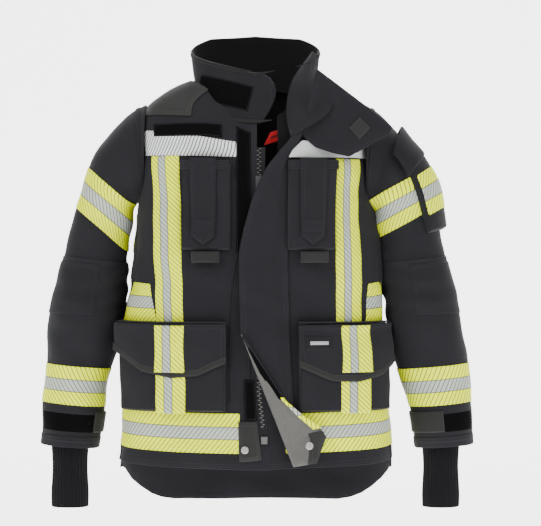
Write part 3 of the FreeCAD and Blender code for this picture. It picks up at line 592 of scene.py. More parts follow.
def shaped_patch(name, borders, base, top, material, size=(24, 24), smooth=False, **extra):
    """Piece laid on the front inside four border paths: top, foot, left and right."""
    grid = coons(*borders, size=size, smooth=smooth)
    return laid_piece(name, grid[..., 0], grid[..., 1], base, top, material, **extra)


def four_borders(corners):
    """Border paths of a four-cornered piece, from its corners clockwise from upper left."""
    upper_left, upper_right, lower_right, lower_left = corners
    return ([upper_left, upper_right], [lower_left, lower_right],
            [upper_left, lower_left], [upper_right, lower_right])


def slanted_patch(name, corners, base, top, material, size=(16, 24), **extra):
    """Four-cornered piece on the front; corners run clockwise from the upper left."""
    return shaped_patch(name, four_borders(corners), base, top, material, size, **extra)


def laid_piece(name, x, z, base, top, material, swell=0.0, border=3, upright=False,
               lift=None, **extra):
    """Piece laid on the front over a grid of places; lift adds a stand-off by place."""
    rows, columns = x.shape
    i = np.linspace(-1, 1, rows)[:, None]
    j = np.linspace(-1, 1, columns)[None, :]
    bulge = swell * (1 - i ** 2) * (1 - j ** 2)
    off = base + (top - base) * crown(1.0, rows, columns, border) + bulge
    raise_by = lift(x, z) if lift else 0.0
    points = front_surface(x, z, off + raise_by)
    if upright:
        down, right = spans(points)
        extra["uv"] = np.stack([down, right], axis=-1)
    return cloth_piece(name, points, material, np.maximum(off - base, 0.0006),
                       out=FORWARD, **extra)


# ------------------------------------------------------------------ collar shape

COLLAR_TILT = math.radians(24)
COLLAR_BASE = np.array([0.0, -0.020, -0.040])
COLLAR_WAY = np.array([0.0, 0.012, 0.084])
RIM_TURNS = np.radians((0, 45, 90, 135, 180))
RIM_HEIGHTS = (0.019, 0.042, 0.068, 0.098, 0.106)


def collar_point(turn, share, off=0.0):
    """Collar cloth; turn is 0 in front, a quarter turn at the left, share 0 at the seam."""
    level = np.interp(np.abs(turn), RIM_TURNS, RIM_HEIGHTS)
    across = 0.108 + 0.020 * share + 0.003 * np.sin(share * math.pi) + off
    along = (0.096 + 0.002 * share + 0.003 * np.sin(share * math.pi) + off) \
        * math.cos(COLLAR_TILT)
    seam = COLLAR_BASE[2] - 0.096 * np.cos(turn) * math.sin(COLLAR_TILT)
    x = across * np.sin(turn)
    y = COLLAR_BASE[1] + COLLAR_WAY[1] * share - along * np.cos(turn)
    z = seam + (level - seam) * share
    return np.stack([x, y, z + 0 * x], axis=-1)


def collar_place(x, z):
    """Turn and share of the front collar point at a sideways place and height."""
    share = np.full(np.shape(x), 0.5)
    for _ in range(5):
        turn = np.arcsin(np.clip(x / (0.108 + 0.02 * share), -1, 1))
        low = collar_point(turn, 0 * share)[..., 2]
        high = collar_point(turn, 0 * share + 1)[..., 2]
        share = (z - low) / (high - low)
    return turn, share


def inside_collar(points):
    """True for points that lie inside the collar's tilted cone."""
    flat = np.array([0.0, -math.cos(COLLAR_TILT), -math.sin(COLLAR_TILT)])
    normal = np.array([0.0, -math.sin(COLLAR_TILT), math.cos(COLLAR_TILT)])
    from_base = points - COLLAR_BASE
    share = from_base @ normal / (COLLAR_WAY @ normal)
    centred = from_base - share[..., None] * COLLAR_WAY
    grow = np.clip(share, 0, 1)
    return (centred[..., 0] / (0.106 + 0.02 * grow)) ** 2 \
        + (centred @ flat / (0.094 + 0.002 * grow)) ** 2 < 1


def neckline(run):
    """Height at which each column of the torso meets the collar."""
    heights = np.linspace(-0.14, 0.012, 153)
    columns = body_base(np.asarray(run)[None, :] + 0 * heights[:, None],
                        heights[:, None] + 0 * np.asarray(run)[None, :])
    hidden = inside_collar(columns)
    first = np.where(hidden.any(axis=0), hidden.argmax(axis=0), len(heights) - 1)
    return heights[first]


# ------------------------------------------------------------------ torso

def wrapped(run):
    """Run brought back between -1 and 1."""
    return (np.asarray(run) + 1) % 2 - 1


def torso_piece(name, runs, top, foot, material, off=0.0, rows=80, columns=60, **extra):
    """Part of the torso between two runs; top and foot give heights from runs."""
    run = wrapped(lines(*runs, columns))
    share = lines(0, 1, rows)[:, None]
    high = top(run)
    low = foot(run)
    z = high + share * (low - high)
    points = body_surface(run[None, :] + 0 * z, z, off)
    return cloth_piece(name, points, material, **extra)


def level(height):
    """Heights that are the same at every run."""
    return lambda run: height + 0 * run


def front_hem(run):
    """Front hem, which rises a little towards the sides."""
    return -0.746 + 0.014 * (np.abs(run) / 0.5) ** 2


TAIL_X = (0, 0.165, 0.19, 0.21, 0.232, 0.252, 0.262, 0.268, 0.28)
TAIL_Z = (-0.836, -0.835, -0.830, -0.821, -0.804, -0.785, -0.770, -0.756, -0.75)


def tail(run):
    """Longer back hem with rounded corners."""
    x = body_base(run, np.full(np.shape(run), -0.75))[..., 0]
    return np.interp(np.abs(x), TAIL_X, TAIL_Z)


def front_panel(name, side, edge_heights, edge_places):
    """Front panel from its inner edge round to the side seam."""
    outer = 0.5 * side
    share = lines(0, 1, 72)[None, :]
    down = lines(0, 1, 130)[:, None]
    near_neck = run_at(np.interp(-0.1, edge_heights, edge_places), -0.1)
    guess = near_neck + share[0] * (outer - near_neck)
    high = neckline(guess)
    z = high + down * (front_hem(guess) - high)
    inner = run_at(np.interp(z, edge_heights, edge_places), z)
    run = inner + share * (outer - inner)
    return cloth_piece(name, body_surface(run, z), shell_cloth, 0.0022,
                       inside=grey_lining, nodes=(name,), slot="shell_cloth")


def seam_strip(name, path, width=0.0035, off=0.0016, material=None, count=60):
    """Thin raised seam along a path of places on the front."""
    middle = resample(path, count, smooth=True)
    way = np.gradient(middle, axis=0)
    way /= np.linalg.norm(way, axis=1, keepdims=True)
    across = np.stack([-way[:, 1], way[:, 0]], axis=-1) * width / 2
    grid = np.stack([middle - across, middle, middle + across], axis=0)
    height = np.array([0.0002, off, 0.0002])[:, None]
    points = front_surface(grid[..., 0], grid[..., 1], height)
    return cloth_piece(name, points, material or edge_cloth, 0.0004, sides="",
                       out=FORWARD)


SIDE_SEAM = [(0.236, -0.17), (0.238, -0.38), (0.252, -0.6), (0.262, -0.735)]
PRINCESS_SEAMS = {
    "princess_seam_right": [(-0.040, -0.16), (-0.030, -0.3), (-0.046, -0.42), (-0.048, -0.62)],
    "princess_seam_left": [(0.062, -0.14), (0.062, -0.35), (0.064, -0.5), (0.066, -0.63)],
}


def build_torso():
    """Shell panels, lining, seams and pads of the body."""
    front_panel("front_panel_right", RIGHT, (-0.75, -0.66, -0.58, 0.05),
                (0.036, 0.014, 0.003, 0.003))
    front_panel("front_panel_left", LEFT, (-0.75, -0.205, -0.104, 0.05),
                (0.013, 0.013, 0.072, 0.095))
    back = torso_piece("back_panel", (0.5, 1.5), neckline, tail, shell_cloth, rows=130,
                       columns=120, thick=0.0022, sides="tb", inside=shell_cloth,
                       nodes=("back_panel",), slot="tail_cloth")
    torso_piece("body_liner", (0.075, 1.925), lambda run: neckline(run) - 0.006,
                lambda run: np.where(np.abs(run) > 0.5, -0.726, -0.724), dark_lining,
                off=-0.0045, rows=60, columns=120, thick=0.0015, sides="",
                nodes=("body_liner",), slot="liner_cloth")
    for side in (RIGHT, LEFT):
        word = SIDE_NAME[side]
        pad = torso_piece(f"shoulder_pad_{word}",
                          (side * 0.215, side * 0.79) if side > 0 else (-0.79, -0.215),
                          lambda run: neckline(run) - 0.004,
                          lambda run: -0.062 - 0.012 * np.cos(run * math.pi) ** 2,
                          wear_cloth, off=0.0028, rows=22, columns=50, thick=0.0026,
                          nodes=("shoulder_pads",) if side > 0 else (), slot="wear_cloth")
    for side in (RIGHT, LEFT):
        seam_strip(f"side_seam_{SIDE_NAME[side]}", [(side * x, z) for x, z in SIDE_SEAM])
    for name, path in PRINCESS_SEAMS.items():
        seam_strip(name, path)


# ------------------------------------------------------------------ tapes

HEM_TAPE = (-0.640, -0.715)
BACK_TAPE = (-0.255, -0.330)
FLAP_SEAM = -0.468
BRACE_END = -0.474
BRACES = {"right": ((-0.198, -0.146, -0.144), (-0.180, -0.132, HEM_TAPE[0])),
          "left": ((0.154, 0.204, -0.150), (0.160, 0.210, HEM_TAPE[0]))}


def sagging(height):
    """Heights that hang lowest in front and rise towards the side seams."""
    return lambda run: height + 0.012 * (np.abs(run) / 0.5) ** 2


def first_of(node, word):
    """A pair shares one CAD node, which only its right piece names."""
    return (node,) if word == "right" else ()


def build_tapes():
    """Reflective and fastener tapes sewn on the body."""
    slanted_patch("chest_tape_right", [(-0.212, -0.094), (-0.034, -0.117),
                                       (-0.034, -0.146), (-0.209, -0.142)],
                  0.0004, 0.0016, white_tape, nodes=("chest_tapes",), slot="striped_tape")
    slanted_patch("chest_tape_left", [(0.089, -0.118), (0.236, -0.112),
                                      (0.236, -0.146), (0.056, -0.149)],
                  0.0008, 0.0020, white_tape, slot="striped_tape",
                  lift=lambda x, z: 0.012 * np.clip((0.12 - x) / 0.05, 0, 1))
    slanted_patch("name_panel", [(-0.192, -0.084), (-0.064, -0.084), (-0.063, -0.108),
                                 (-0.192, -0.107)], 0.0018, 0.0036, hook_pile,
                  nodes=("name_panel",), slot="hook_loop")
    for word, (upper, lower) in BRACES.items():
        low_left, low_right = (np.interp(FLAP_SEAM, (lower[2], upper[2]), (lower[k], upper[k]))
                               for k in (0, 1))
        corners = [(upper[0], upper[2]), (upper[1], upper[2]), (low_right, BRACE_END),
                   (low_left, BRACE_END)]
        slanted_patch(f"brace_tape_{word}", corners, 0.0005, 0.0018, brace_tape, (60, 14),
                      upright=True, nodes=first_of("brace_tapes", word), slot="bright_tape")
    for word, limits in BRACE_ON_FLAP.items():
        front_patch(f"brace_pocket_{word}", limits, (-0.50, HEM_TAPE[0]), 0.0165, 0.0185,
                    brace_tape, (24, 12), upright=True, slot="bright_tape")
    front_limits = {"right": (-0.5, run_at(-0.030, -0.68)), "left": (run_at(0.060, -0.68), 0.5)}
    for word, limits in front_limits.items():
        torso_piece(f"hem_tape_{word}", limits, sagging(HEM_TAPE[0]), sagging(HEM_TAPE[1]),
                    lime_tape, off=0.0018, rows=14, columns=60, thick=0.0014,
                    nodes=first_of("hem_tapes", word), slot="bright_tape")
    for place, limits in {"lower": HEM_TAPE, "upper": BACK_TAPE}.items():
        torso_piece(f"back_tape_{place}", (0.5, 1.5), level(limits[0]), level(limits[1]),
                    lime_tape_back, off=0.0018, rows=14, columns=100, thick=0.0014,
                    nodes=("back_tapes",) if place == "lower" else (), slot="bright_tape")
    slanted_patch("side_tape_right", [(-0.2399, -0.388), (-0.200, -0.392), (-0.186, -0.466),
                                      (-0.247, -0.466)], 0.0004, 0.0018, lime_tape,
                  nodes=("side_tapes",), slot="bright_tape")
    slanted_patch("side_tape_left", [(0.219, -0.392), (0.2399, -0.388), (0.247, -0.466),
                                     (0.216, -0.468)], 0.0004, 0.0018, lime_tape,
                  slot="bright_tape")
    small_label("side_tag", (-0.234, -0.198), (-0.466, -0.476), 0.0004, 0.0018, tag_cloth)


def small_label(name, x_limits, z_limits, base, top, material, **extra):
    """Woven label whose pattern runs once over its face."""
    x, z = np.meshgrid(lines(*x_limits, 12), lines(*z_limits, 8))
    u = (x - x_limits[0]) / (x_limits[1] - x_limits[0])
    v = (z - z_limits[0]) / (z_limits[1] - z_limits[0])
    return laid_piece(name, x, z, base, top, material, border=2,
                      uv=np.stack([u, v], axis=-1), **extra)


# ------------------------------------------------------------------ pockets

FLAPS = {
    "right": {"top": [(-0.248, -0.468), (-0.054, -0.468)],
              "foot": [(-0.247, -0.522), (-0.202, -0.561), (-0.155, -0.572),
                       (-0.109, -0.568), (-0.054, -0.543)]},
    "left": {"top": [(0.082, -0.470), (0.250, -0.468)],
             "foot": [(0.084, -0.551), (0.144, -0.578), (0.190, -0.580),
                      (0.225, -0.570), (0.251, -0.545)]},
}
CARGO = {"right": (-0.246, -0.056), "left": (0.084, 0.249)}
RADIO = {"right": (-0.138, -0.048), "left": (0.062, 0.153)}
STRAP = {"right": (-0.121, -0.073), "left": (0.084, 0.132)}
STRAP_TOP = -0.150
STRAP_SHOULDER = -0.300
STRAP_POINT = -0.318
BRACE_ON_FLAP = {"right": (-0.181, -0.131), "left": (0.161, 0.211)}


def pocket_with_flap(word):
    """Cargo pocket, its hanging flap and the tape across the flap."""
    front_patch(f"cargo_pocket_{word}", CARGO[word], (-0.487, -0.637), 0.0006, 0.0155,
                shell_cloth, (40, 44), swell=0.0012, nodes=(f"cargo_pocket_{word}",),
                slot="shell_cloth")
    for number, x in enumerate(CARGO[word]):
        inward = 0.006 if number == 0 else -0.006
        seam_strip(f"cargo_fold_{word}_{number}", [(x + inward, -0.49), (x + inward, -0.63)],
                   off=0.0115, count=30)
    shape = FLAPS[word]
    borders = (shape["top"], shape["foot"], [shape["top"][0], shape["foot"][0]],
               [shape["top"][-1], shape["foot"][-1]])
    flap = shaped_patch(f"pocket_flap_{word}", borders, 0.0185, 0.0215, shell_cloth,
                        (34, 44), border=2, swell=0.002, body=f"pocket_flap_{word}",
                        nodes=(f"pocket_flap_{word}",), slot="shell_cloth")
    foot = np.array(shape["foot"])
    above = foot + np.array([0.0, 0.014])
    shaped_patch(f"flap_trim_{word}", (above, foot + [0, 0.0012], [above[0], foot[0]],
                                       [above[-1], foot[-1]]),
                 0.0217, 0.0228, trim_cloth, (8, 44), border=2,
                 body=f"pocket_flap_{word}", slot="shell_cloth")
    seam_strip(f"flap_hinge_{word}", [(shape["top"][0][0], -0.4665),
                                      (shape["top"][1][0], -0.4665)], width=0.006,
               off=0.0195, count=40)
    front_patch(f"flap_tape_{word}", BRACE_ON_FLAP[word], (-0.472, -0.562), 0.0225, 0.0245,
                brace_tape, (20, 12), upright=True, body=f"pocket_flap_{word}",
                nodes=(f"flap_tape_{word}",), slot="bright_tape")


def radio_pocket(word):
    """Radio pocket with its pointed strap and the cloth loop below it."""
    near, far = RADIO[word]
    front_patch(f"radio_pocket_{word}", (near, far), (-0.160, -0.326), 0.0006, 0.0165,
                shell_cloth, (40, 28), nodes=(f"radio_pocket_{word}",), slot="shell_cloth")
    front_patch(f"radio_band_{word}", (near, far), (-0.154, -0.172), 0.0165, 0.0195,
                edge_cloth, (8, 28), border=2)
    left, right = STRAP[word]
    middle = (left + right) / 2
    low_left = (left + 0.002, STRAP_SHOULDER)
    low_right = (right - 0.002, STRAP_SHOULDER)
    borders = ([(left, STRAP_TOP), (right, STRAP_TOP)],
               [low_left, (middle, STRAP_POINT), low_right],
               [(left, STRAP_TOP), low_left],
               [(right, STRAP_TOP), low_right])
    strap = shaped_patch(f"radio_strap_{word}", borders, 0.0205, 0.0235, edge_cloth,
                         (40, 18), border=2, body=f"radio_strap_{word}",
                         nodes=(f"radio_strap_{word}",), slot="strap_cloth")
    front_patch(f"strap_end_{word}", (left + 0.004, right - 0.004), (-0.268, -0.292),
                0.0236, 0.0246, edge_cloth, (8, 12), border=2,
                body=f"radio_strap_{word}")
    front_patch(f"radio_loop_{word}", (left + 0.002, right + 0.006), (-0.329, -0.351),
                0.0125, 0.0165, trim_cloth, (10, 18), border=2, swell=0.0015,
                nodes=first_of("radio_loops", word), slot="strap_cloth")


def build_pockets():
    """All pockets on the body."""
    for word in ("right", "left"):
        pocket_with_flap(word)
        radio_pocket(word)
    small_label("brand_patch", (0.094, 0.145), (-0.491, -0.519), 0.0225, 0.0240,
                badge_cloth, body="pocket_flap_left", nodes=("brand_patch",),
                slot="badge_cloth")


# ------------------------------------------------------------------ front closure

FLAP_EDGE = [(0.086, -0.098), (0.050, -0.134), (0.025, -0.166), (0.008, -0.198),
             (-0.006, -0.234), (-0.021, -0.288), (-0.029, -0.33), (-0.028, -0.43),
             (-0.026, -0.487), (0.002, -0.560), (0.038, -0.650), (0.073, -0.738)]
CORNER_FOLD = [(-0.026, -0.487), (0.002, -0.560), (0.038, -0.650), (0.073, -0.741)]
CORNER_EDGE = [(-0.024, -0.491), (0.020, -0.556), (0.058, -0.614), (0.092, -0.644),
               (0.121, -0.664), (0.134, -0.684), (0.117, -0.734)]


def storm_flap():
    """Storm flap, sewn on the wearer's left of the zip, its upper part peeled back."""
    right = [(0.096, -0.100), (0.080, -0.125), (0.064, -0.165), (0.062, -0.35), (0.066, -0.5),
             (0.080, -0.739)]
    borders = (FLAP_EDGE[:1] + right[:1], FLAP_EDGE[-1:] + right[-1:], FLAP_EDGE, right)
    grid = coons(*borders, size=(110, 30))
    x, z = grid[..., 0], grid[..., 1]
    share = np.linspace(0, 1, 30)[None, :]
    lift = 0.0145 - 0.0095 * np.clip((share - 0.7) / 0.3, 0, 1)
    lift = lift + 0.004 * np.clip((z + 0.3) / 0.15, 0, 1) * (1 - share)
    lift = lift - 0.0022 * ridge(z + 0.432 + 0.1 * (x - 0.02), 0.008) * (1 - share)
    points = front_surface(x, z, lift)
    flap = cloth_piece("storm_flap", points, shell_cloth, 0.0028,
                       out=FORWARD, inside=grey_lining,
                       body=("storm_flap", ROOT, (0.02, -0.13, -0.40),
                             (0.02, -0.13, -0.485)),
                       nodes=("storm_flap", "storm_flap_lower"), slot="shell_cloth")


def corner_grid(share_in, share_out, rows, columns, first=0.0, last=1.0):
    """Places on the turned-back corner between two shares from fold to free edge."""
    fold = resample(CORNER_FOLD, 200)
    edge = resample(CORNER_EDGE, 200)
    pick = (np.linspace(first, last, rows) * 199).round().astype(int)
    share = np.linspace(share_in, share_out, columns)[None, :, None]
    return fold[pick][:, None] * (1 - share) + edge[pick][:, None] * share


def corner_piece(name, shares, limits, base, top, material, size=(40, 16), **extra):
    """Piece on the turned-back corner; it moves with the corner."""
    grid = corner_grid(*shares, *size, *limits)
    x, z = grid[..., 0], grid[..., 1]
    return laid_piece(name, x, z, base, top, material, border=2,
                      body="storm_flap_corner", **extra)


def storm_corner():
    """The lower flap corner turned back, with its hooks, tape ends and snap patch."""
    corner = corner_piece("storm_flap_corner", (0, 1), (0.0, 1.0), 0.0165, 0.0195,
                          grey_lining, (70, 30), swell=0.003,
                          nodes=("storm_flap_corner",), slot="liner_cloth")
    corner_piece("corner_hook_strip", (0.22, 1.0), (0.02, 0.50), 0.0205, 0.0222, hook_pile,
                 (40, 8), nodes=("corner_hook_strip",), slot="hook_loop")
    corner_piece("corner_tape_end", (0.80, 1.02), (0.46, 0.76), 0.0222, 0.0235, lime_tape,
                 (30, 8), slot="bright_tape")
    corner_piece("corner_patch", (0.62, 1.0), (0.78, 1.0), 0.0212, 0.0228, wear_cloth,
                 (14, 14), nodes=("corner_patch",), slot="wear_cloth")
    corner_piece("corner_binding", (0.93, 1.01), (0.0, 0.46), 0.0200, 0.0226, edge_cloth,
                 (40, 6), slot="shell_cloth")


def tooth_boxes(places, size):
    """Vertices and faces of small upright boxes standing on the front."""
    vertices, faces = [], []
    half = np.array(size) / 2
    signs = np.array([(a, b, c) for a in (-1, 1) for b in (-1, 1) for c in (-1, 1)])
    sides = [(0, 1, 3, 2), (4, 6, 7, 5), (0, 4, 5, 1), (2, 3, 7, 6), (0, 2, 6, 4),
             (1, 5, 7, 3)]
    for place in places:
        first = len(vertices)
        vertices.extend(place + signs * half)
        faces.extend(tuple(first + k for k in side) for side in sides)
    return np.array(vertices), faces


def zip_fastener():
    """Woven edges, teeth and stop box of the zip."""
    heights = np.arange(-0.664, -0.127, 0.0042)
    middle = np.where(heights < -0.6, 0.008 + (-0.6 - heights) * 0.12, 0.008)
    stand = front_surface(middle, heights, 0.0012)
    stagger = np.where(np.arange(len(heights)) % 2, 0.0016, -0.0016)
    stand[:, 0] += stagger
    foot = front_surface(np.array([0.018]), np.array([-0.690]), 0.004)
    vertices, faces = tooth_boxes(stand, (0.0046, 0.0026, 0.0022))
    box_vertices, box_faces = tooth_boxes(foot, (0.012, 0.004, 0.014))
    faces = faces + [tuple(k + len(vertices) for k in face) for face in box_faces]
    vertices = np.concatenate([vertices, box_vertices])
    teeth = new_mesh("zip_chain", vertices, faces, vertices[:, [0, 2]],
                     np.full(len(vertices), 1.0))
    teeth.data.materials.append(tooth_metal)
    finish_piece(teeth, ROOT, ("zip_chain",))
    for number, limits in enumerate(((-0.003, 0.006), (0.010, 0.020))):
        front_patch(f"zip_edge_{number}", limits, (-0.128, -0.690), 0.0002, 0.0008,
                    edge_cloth, (60, 6), border=1,
                    nodes=("zip_tapes",) if number == 0 else (), slot="zip_cloth")


def front_closure():
    """Everything along the front opening."""
    zip_fastener()
    storm_flap()
    storm_corner()
    slanted_patch("loop_strip_upper", [(-0.036, -0.085), (-0.008, -0.098),
                                       (-0.006, -0.330), (-0.036, -0.330)],
                  0.0014, 0.0034, hook_pile, (50, 12), nodes=("loop_strips",),
                  slot="hook_loop")
    slanted_patch("loop_strip_lower", [(-0.021, -0.576), (-0.002, -0.576),
                                       (0.004, -0.652), (-0.019, -0.652)],
                  0.0030, 0.0048, hook_pile, (24, 10), slot="hook_loop")
    slanted_patch("hem_patch", [(-0.032, -0.655), (0.004, -0.655), (0.014, -0.728),
                                (-0.030, -0.732)], 0.0020, 0.0040, wear_cloth, (24, 14),
                  nodes=("hem_patch",), slot="wear_cloth")
    seam_strip("front_facing_seam", [(-0.014, -0.11), (-0.012, -0.34), (-0.010, -0.57)],
               off=0.0035, width=0.003)


# ------------------------------------------------------------------ collar

def stand_grid(rows, columns):
    """Turns and shares of the standing collar, from its right end to the left roll."""
    share = np.linspace(1, 0, rows)
    end_x = np.interp(share, (0, 0.2, 0.4, 0.55, 0.7, 0.85, 0.95, 1),
                      (0.012, 0.026, 0.036, 0.039, 0.036, 0.026, 0.012, 0.002))
    start = np.arcsin(end_x / (0.108 + 0.02 * share))
    finish = np.radians(np.interp(share, (0, 0.5, 1), (37, 41, 74)))
    spread = np.linspace(0, 1, columns)[None, :]
    turn = start[:, None] - spread * (start + 2 * math.pi - finish)[:, None]
    return (turn + math.pi) % (2 * math.pi) - math.pi, share[:, None] + 0 * turn


ROLL = [(0.112, -0.026, 0.066), (0.088, -0.056, 0.032), (0.070, -0.078, 0.0),
        (0.061, -0.095, -0.040), (0.061, -0.112, -0.075), (0.068, -0.126, -0.104)]
LAPEL_EDGE = [(0.121, -0.032, 0.062), (0.117, -0.070, 0.025), (0.134, -0.105, -0.006),
              (0.147, -0.135, -0.036), (0.141, -0.146, -0.060), (0.112, -0.147, -0.083),
              (0.072, -0.144, -0.108)]


HOOK_CORNERS = [(-0.104, 0.018), (-0.002, -0.010), (-0.014, -0.058), (-0.113, -0.031)]


def collar():
    """Standing collar, its turned-down left end and its lining."""
    turn, share = stand_grid(26, 150)
    points = collar_point(turn, share)
    cloth_piece("collar_stand", points, edge_cloth, 0.0045, sides="tlr",
                inside=dark_lining, nodes=("collar_shell", "collar_lining"),
                slot="collar_cloth")
    inner = np.array(ROLL)
    fall = coons([ROLL[0], LAPEL_EDGE[0]], [ROLL[-1], LAPEL_EDGE[-1]], ROLL, LAPEL_EDGE,
                 size=(56, 26), smooth=True)
    share = np.linspace(0, 1, 26)[None, :]
    fall[..., 1] -= 0.007 * np.sin(share * math.pi)
    fall[..., 0] -= 0.002 * np.sin(share * math.pi)
    cloth_piece("collar_fall", fall, edge_cloth, 0.0032, sides="rtb",
                out=np.array([0.4, -1.0, 0.2]), inside=dark_lining,
                nodes=("collar_end_left",), slot="collar_cloth")
    facing_edge = inner + np.array([0.010, 0.045, -0.004])
    facing = coons([facing_edge[0], ROLL[0]], [facing_edge[-1], ROLL[-1]], facing_edge,
                   ROLL, size=(40, 16), smooth=True)
    cloth_piece("collar_facing", facing, dark_lining, 0.0016, sides="l",
                out=np.array([-0.4, -1.0, 0.2]), slot="collar_liner")
    hook = coons(*four_borders(HOOK_CORNERS), size=(18, 34))
    turn, share = collar_place(hook[..., 0], hook[..., 1])
    raised = collar_point(turn, share, 0.0022 * crown(1.0, 18, 34, 2))
    cloth_piece("collar_hook_patch", raised, hook_pile, 0.0022,
                out=FORWARD, nodes=("collar_hook_patch",),
                slot="hook_loop")
    for number, (level_share, width) in enumerate(((0.0, 0.05), (0.93, 0.03))):
        turn, share = stand_grid(4, 150)
        low = level_share + width * np.linspace(1, 0, 4)[:, None]
        ring = collar_point(turn, low + 0 * share, 0.0013)
        cloth_piece(f"collar_seam_{number}", ring, trim_cloth, 0.001, sides="",
                    slot="collar_cloth")


def neck_details():
    """Hanger loop and woven label inside the neck."""
    share = np.linspace(0, 1, 30)[None, :]
    drop = np.linspace(0, 1, 5)[:, None]
    x = -0.032 + 0.064 * share
    y = 0.057 - 0.011 * np.sin(share * math.pi)
    z = 0.022 - 0.008 * drop
    points = np.stack([x + 0 * z, y + 0 * z, z + 0 * x], axis=-1)
    cloth_piece("hanger_loop", points, trim_cloth, 0.002, out=FORWARD,
                nodes=("hanger_loop",), slot="strap_cloth")
    across, down = np.meshgrid(np.linspace(0, 1, 14), np.linspace(0, 1, 12))
    points = np.stack([0.030 + 0.036 * across - 0.012 * down, -0.092 + 0.010 * across,
                       -0.098 - 0.024 * down + 0.012 * across], axis=-1)
    cloth_piece("neck_label", points, red_label, 0.0012, out=FORWARD,
                uv=np.stack([across, down], axis=-1), nodes=("neck_label",),
                slot="label_cloth")


TAB_TOP = [(0.119, 0.020), (0.165, -0.014), (0.215, -0.052), (0.263, -0.090)]
TAB_FOOT = [(0.092, -0.106), (0.117, -0.128), (0.150, -0.139), (0.180, -0.146),
            (0.200, -0.136), (0.256, -0.104)]
DIAMOND_CORNERS = [(0.180, -0.092), (0.201, -0.071), (0.222, -0.092), (0.201, -0.114)]


def throat_tab():
    """Pointed throat tab folded over the left chest, with its diamond patch."""
    borders = (TAB_TOP, TAB_FOOT, [TAB_TOP[0], (0.104, -0.045), TAB_FOOT[0]],
               [TAB_TOP[-1], TAB_FOOT[-1]])
    grid = coons(*borders, size=(34, 44))
    x, z = grid[..., 0], grid[..., 1]
    y = -0.1385 + 0.0035 * np.cos(x * 30) * np.sin((z + 0.05) * 25)
    points = np.stack([x, y, z], axis=-1)
    tab = cloth_piece("throat_tab", points, edge_cloth, 0.0034,
                      out=FORWARD, body="throat_tab",
                      nodes=("throat_tab",), slot="collar_cloth")
    diamond = coons(*four_borders(DIAMOND_CORNERS), size=(14, 14))
    raise_by = crown(0.0016, 14, 14, 2)
    points = np.stack([diamond[..., 0], -0.1432 - raise_by, diamond[..., 1]], axis=-1)
    cloth_piece("throat_tab_patch", points, trim_cloth, 0.0014,
                out=FORWARD, body="throat_tab",
                nodes=("throat_tab_patch",), slot="wear_cloth")


# ------------------------------------------------------------------ sleeves

STATIONS = np.array([
    (0.217, -0.135, 90, 0.098, 0.080), (0.240, -0.150, 76, 0.090, 0.079),
    (0.275, -0.192, 59, 0.074, 0.072), (0.305, -0.281, 18, 0.062, 0.061),
    (0.325, -0.410, 0, 0.071, 0.068), (0.339, -0.499, 7, 0.070, 0.063),
    (0.354, -0.576, 6, 0.062, 0.057), (0.363, -0.634, 5, 0.057, 0.053),
    (0.371, -0.712, 4, 0.056, 0.050)])
TURN_SCALE = 0.0012
SLEEVE_LINE = resample(STATIONS * np.array([1, 1, TURN_SCALE, 1, 1]), 400, smooth=True)
SLEEVE_SHARE = np.linspace(0, 1, 400)


def sleeve_surface(side, share, angle, off=0.0, folds=1.0):
    """Sleeve cloth; angle is 0 on the inner side and a quarter turn in front."""
    out, height, turn, wide, deep = (np.interp(share, SLEEVE_SHARE, SLEEVE_LINE[:, k])
                                     for k in range(5))
    turn = np.radians(turn / TURN_SCALE)
    x = out - wide * np.cos(angle) * np.cos(turn)
    z = height - wide * np.cos(angle) * np.sin(turn)
    y = -deep * np.sin(angle)
    plain = np.stack([x * side, y, z], axis=-1)
    outward = np.stack([-np.cos(angle) * np.cos(turn) * side / wide,
                        -np.sin(angle) / deep,
                        -np.cos(angle) * np.sin(turn) / wide], axis=-1)
    outward /= np.linalg.norm(outward, axis=-1, keepdims=True)
    relief = folds * (rumple(plain, 1.15, 8 + side) + sleeve_folds(plain, angle))
    settle = np.clip(share * 12, 0, 1)
    return plain + outward * (np.asarray(off) + relief * settle)[..., None]


def sleeve_folds(points, angle):
    """Creases round the elbow and below the armhole."""
    z = points[..., 2]
    bend = np.exp(-((z + 0.40) / 0.075) ** 2)
    inner = 0.5 + 0.5 * np.cos(angle - 0.6)
    rings = np.sin((z + 0.02 * np.sin(angle)) * 150)
    under = np.exp(-((z + 0.24) / 0.05) ** 2) * (0.5 + 0.5 * np.cos(angle))
    return 0.0022 * rings * bend * inner - 0.004 * under * np.sin(z * 95)


def share_at(height):
    """Share of the sleeve line at a height of its centre."""
    return np.interp(-np.asarray(height), -SLEEVE_LINE[:, 1], SLEEVE_SHARE)


def upper_blend(side):
    """Torso and upper sleeve bodies with two points round the armhole; a piece given them is
    joined to neither.
    """
    return (ROOT, f"upper_sleeve_{SIDE_NAME[side]}", (side * 0.20, 0, -0.10),
            (side * 0.30, 0, -0.20))


def lower_blend(side):
    """Upper and lower sleeve bodies with two points round the elbow; a piece given them is
    joined to neither.
    """
    word = SIDE_NAME[side]
    return (f"upper_sleeve_{word}", f"lower_sleeve_{word}", (side * 0.322, 0, -0.36),
            (side * 0.332, 0, -0.46))


def sleeve_piece(name, side, heights, angles, off, material, body, rows=40, columns=60,
                 **extra):
    """Part of a sleeve between two heights of its centre and two angles."""
    first, last = share_at(heights[0]), share_at(heights[1])
    share, angle = np.meshgrid(lines(float(first), float(last), rows, 0.01),
                               lines(*angles, columns, 0.05), indexing="ij")
    off = off(*share.shape) if callable(off) else off
    points = sleeve_surface(side, share, angle, off)
    middle = np.stack([np.interp(share, SLEEVE_SHARE, SLEEVE_LINE[:, 0]) * side, 0 * share,
                       np.interp(share, SLEEVE_SHARE, SLEEVE_LINE[:, 1])], axis=-1)
    return cloth_piece(name, points, material, out=points - middle, body=body, **extra)


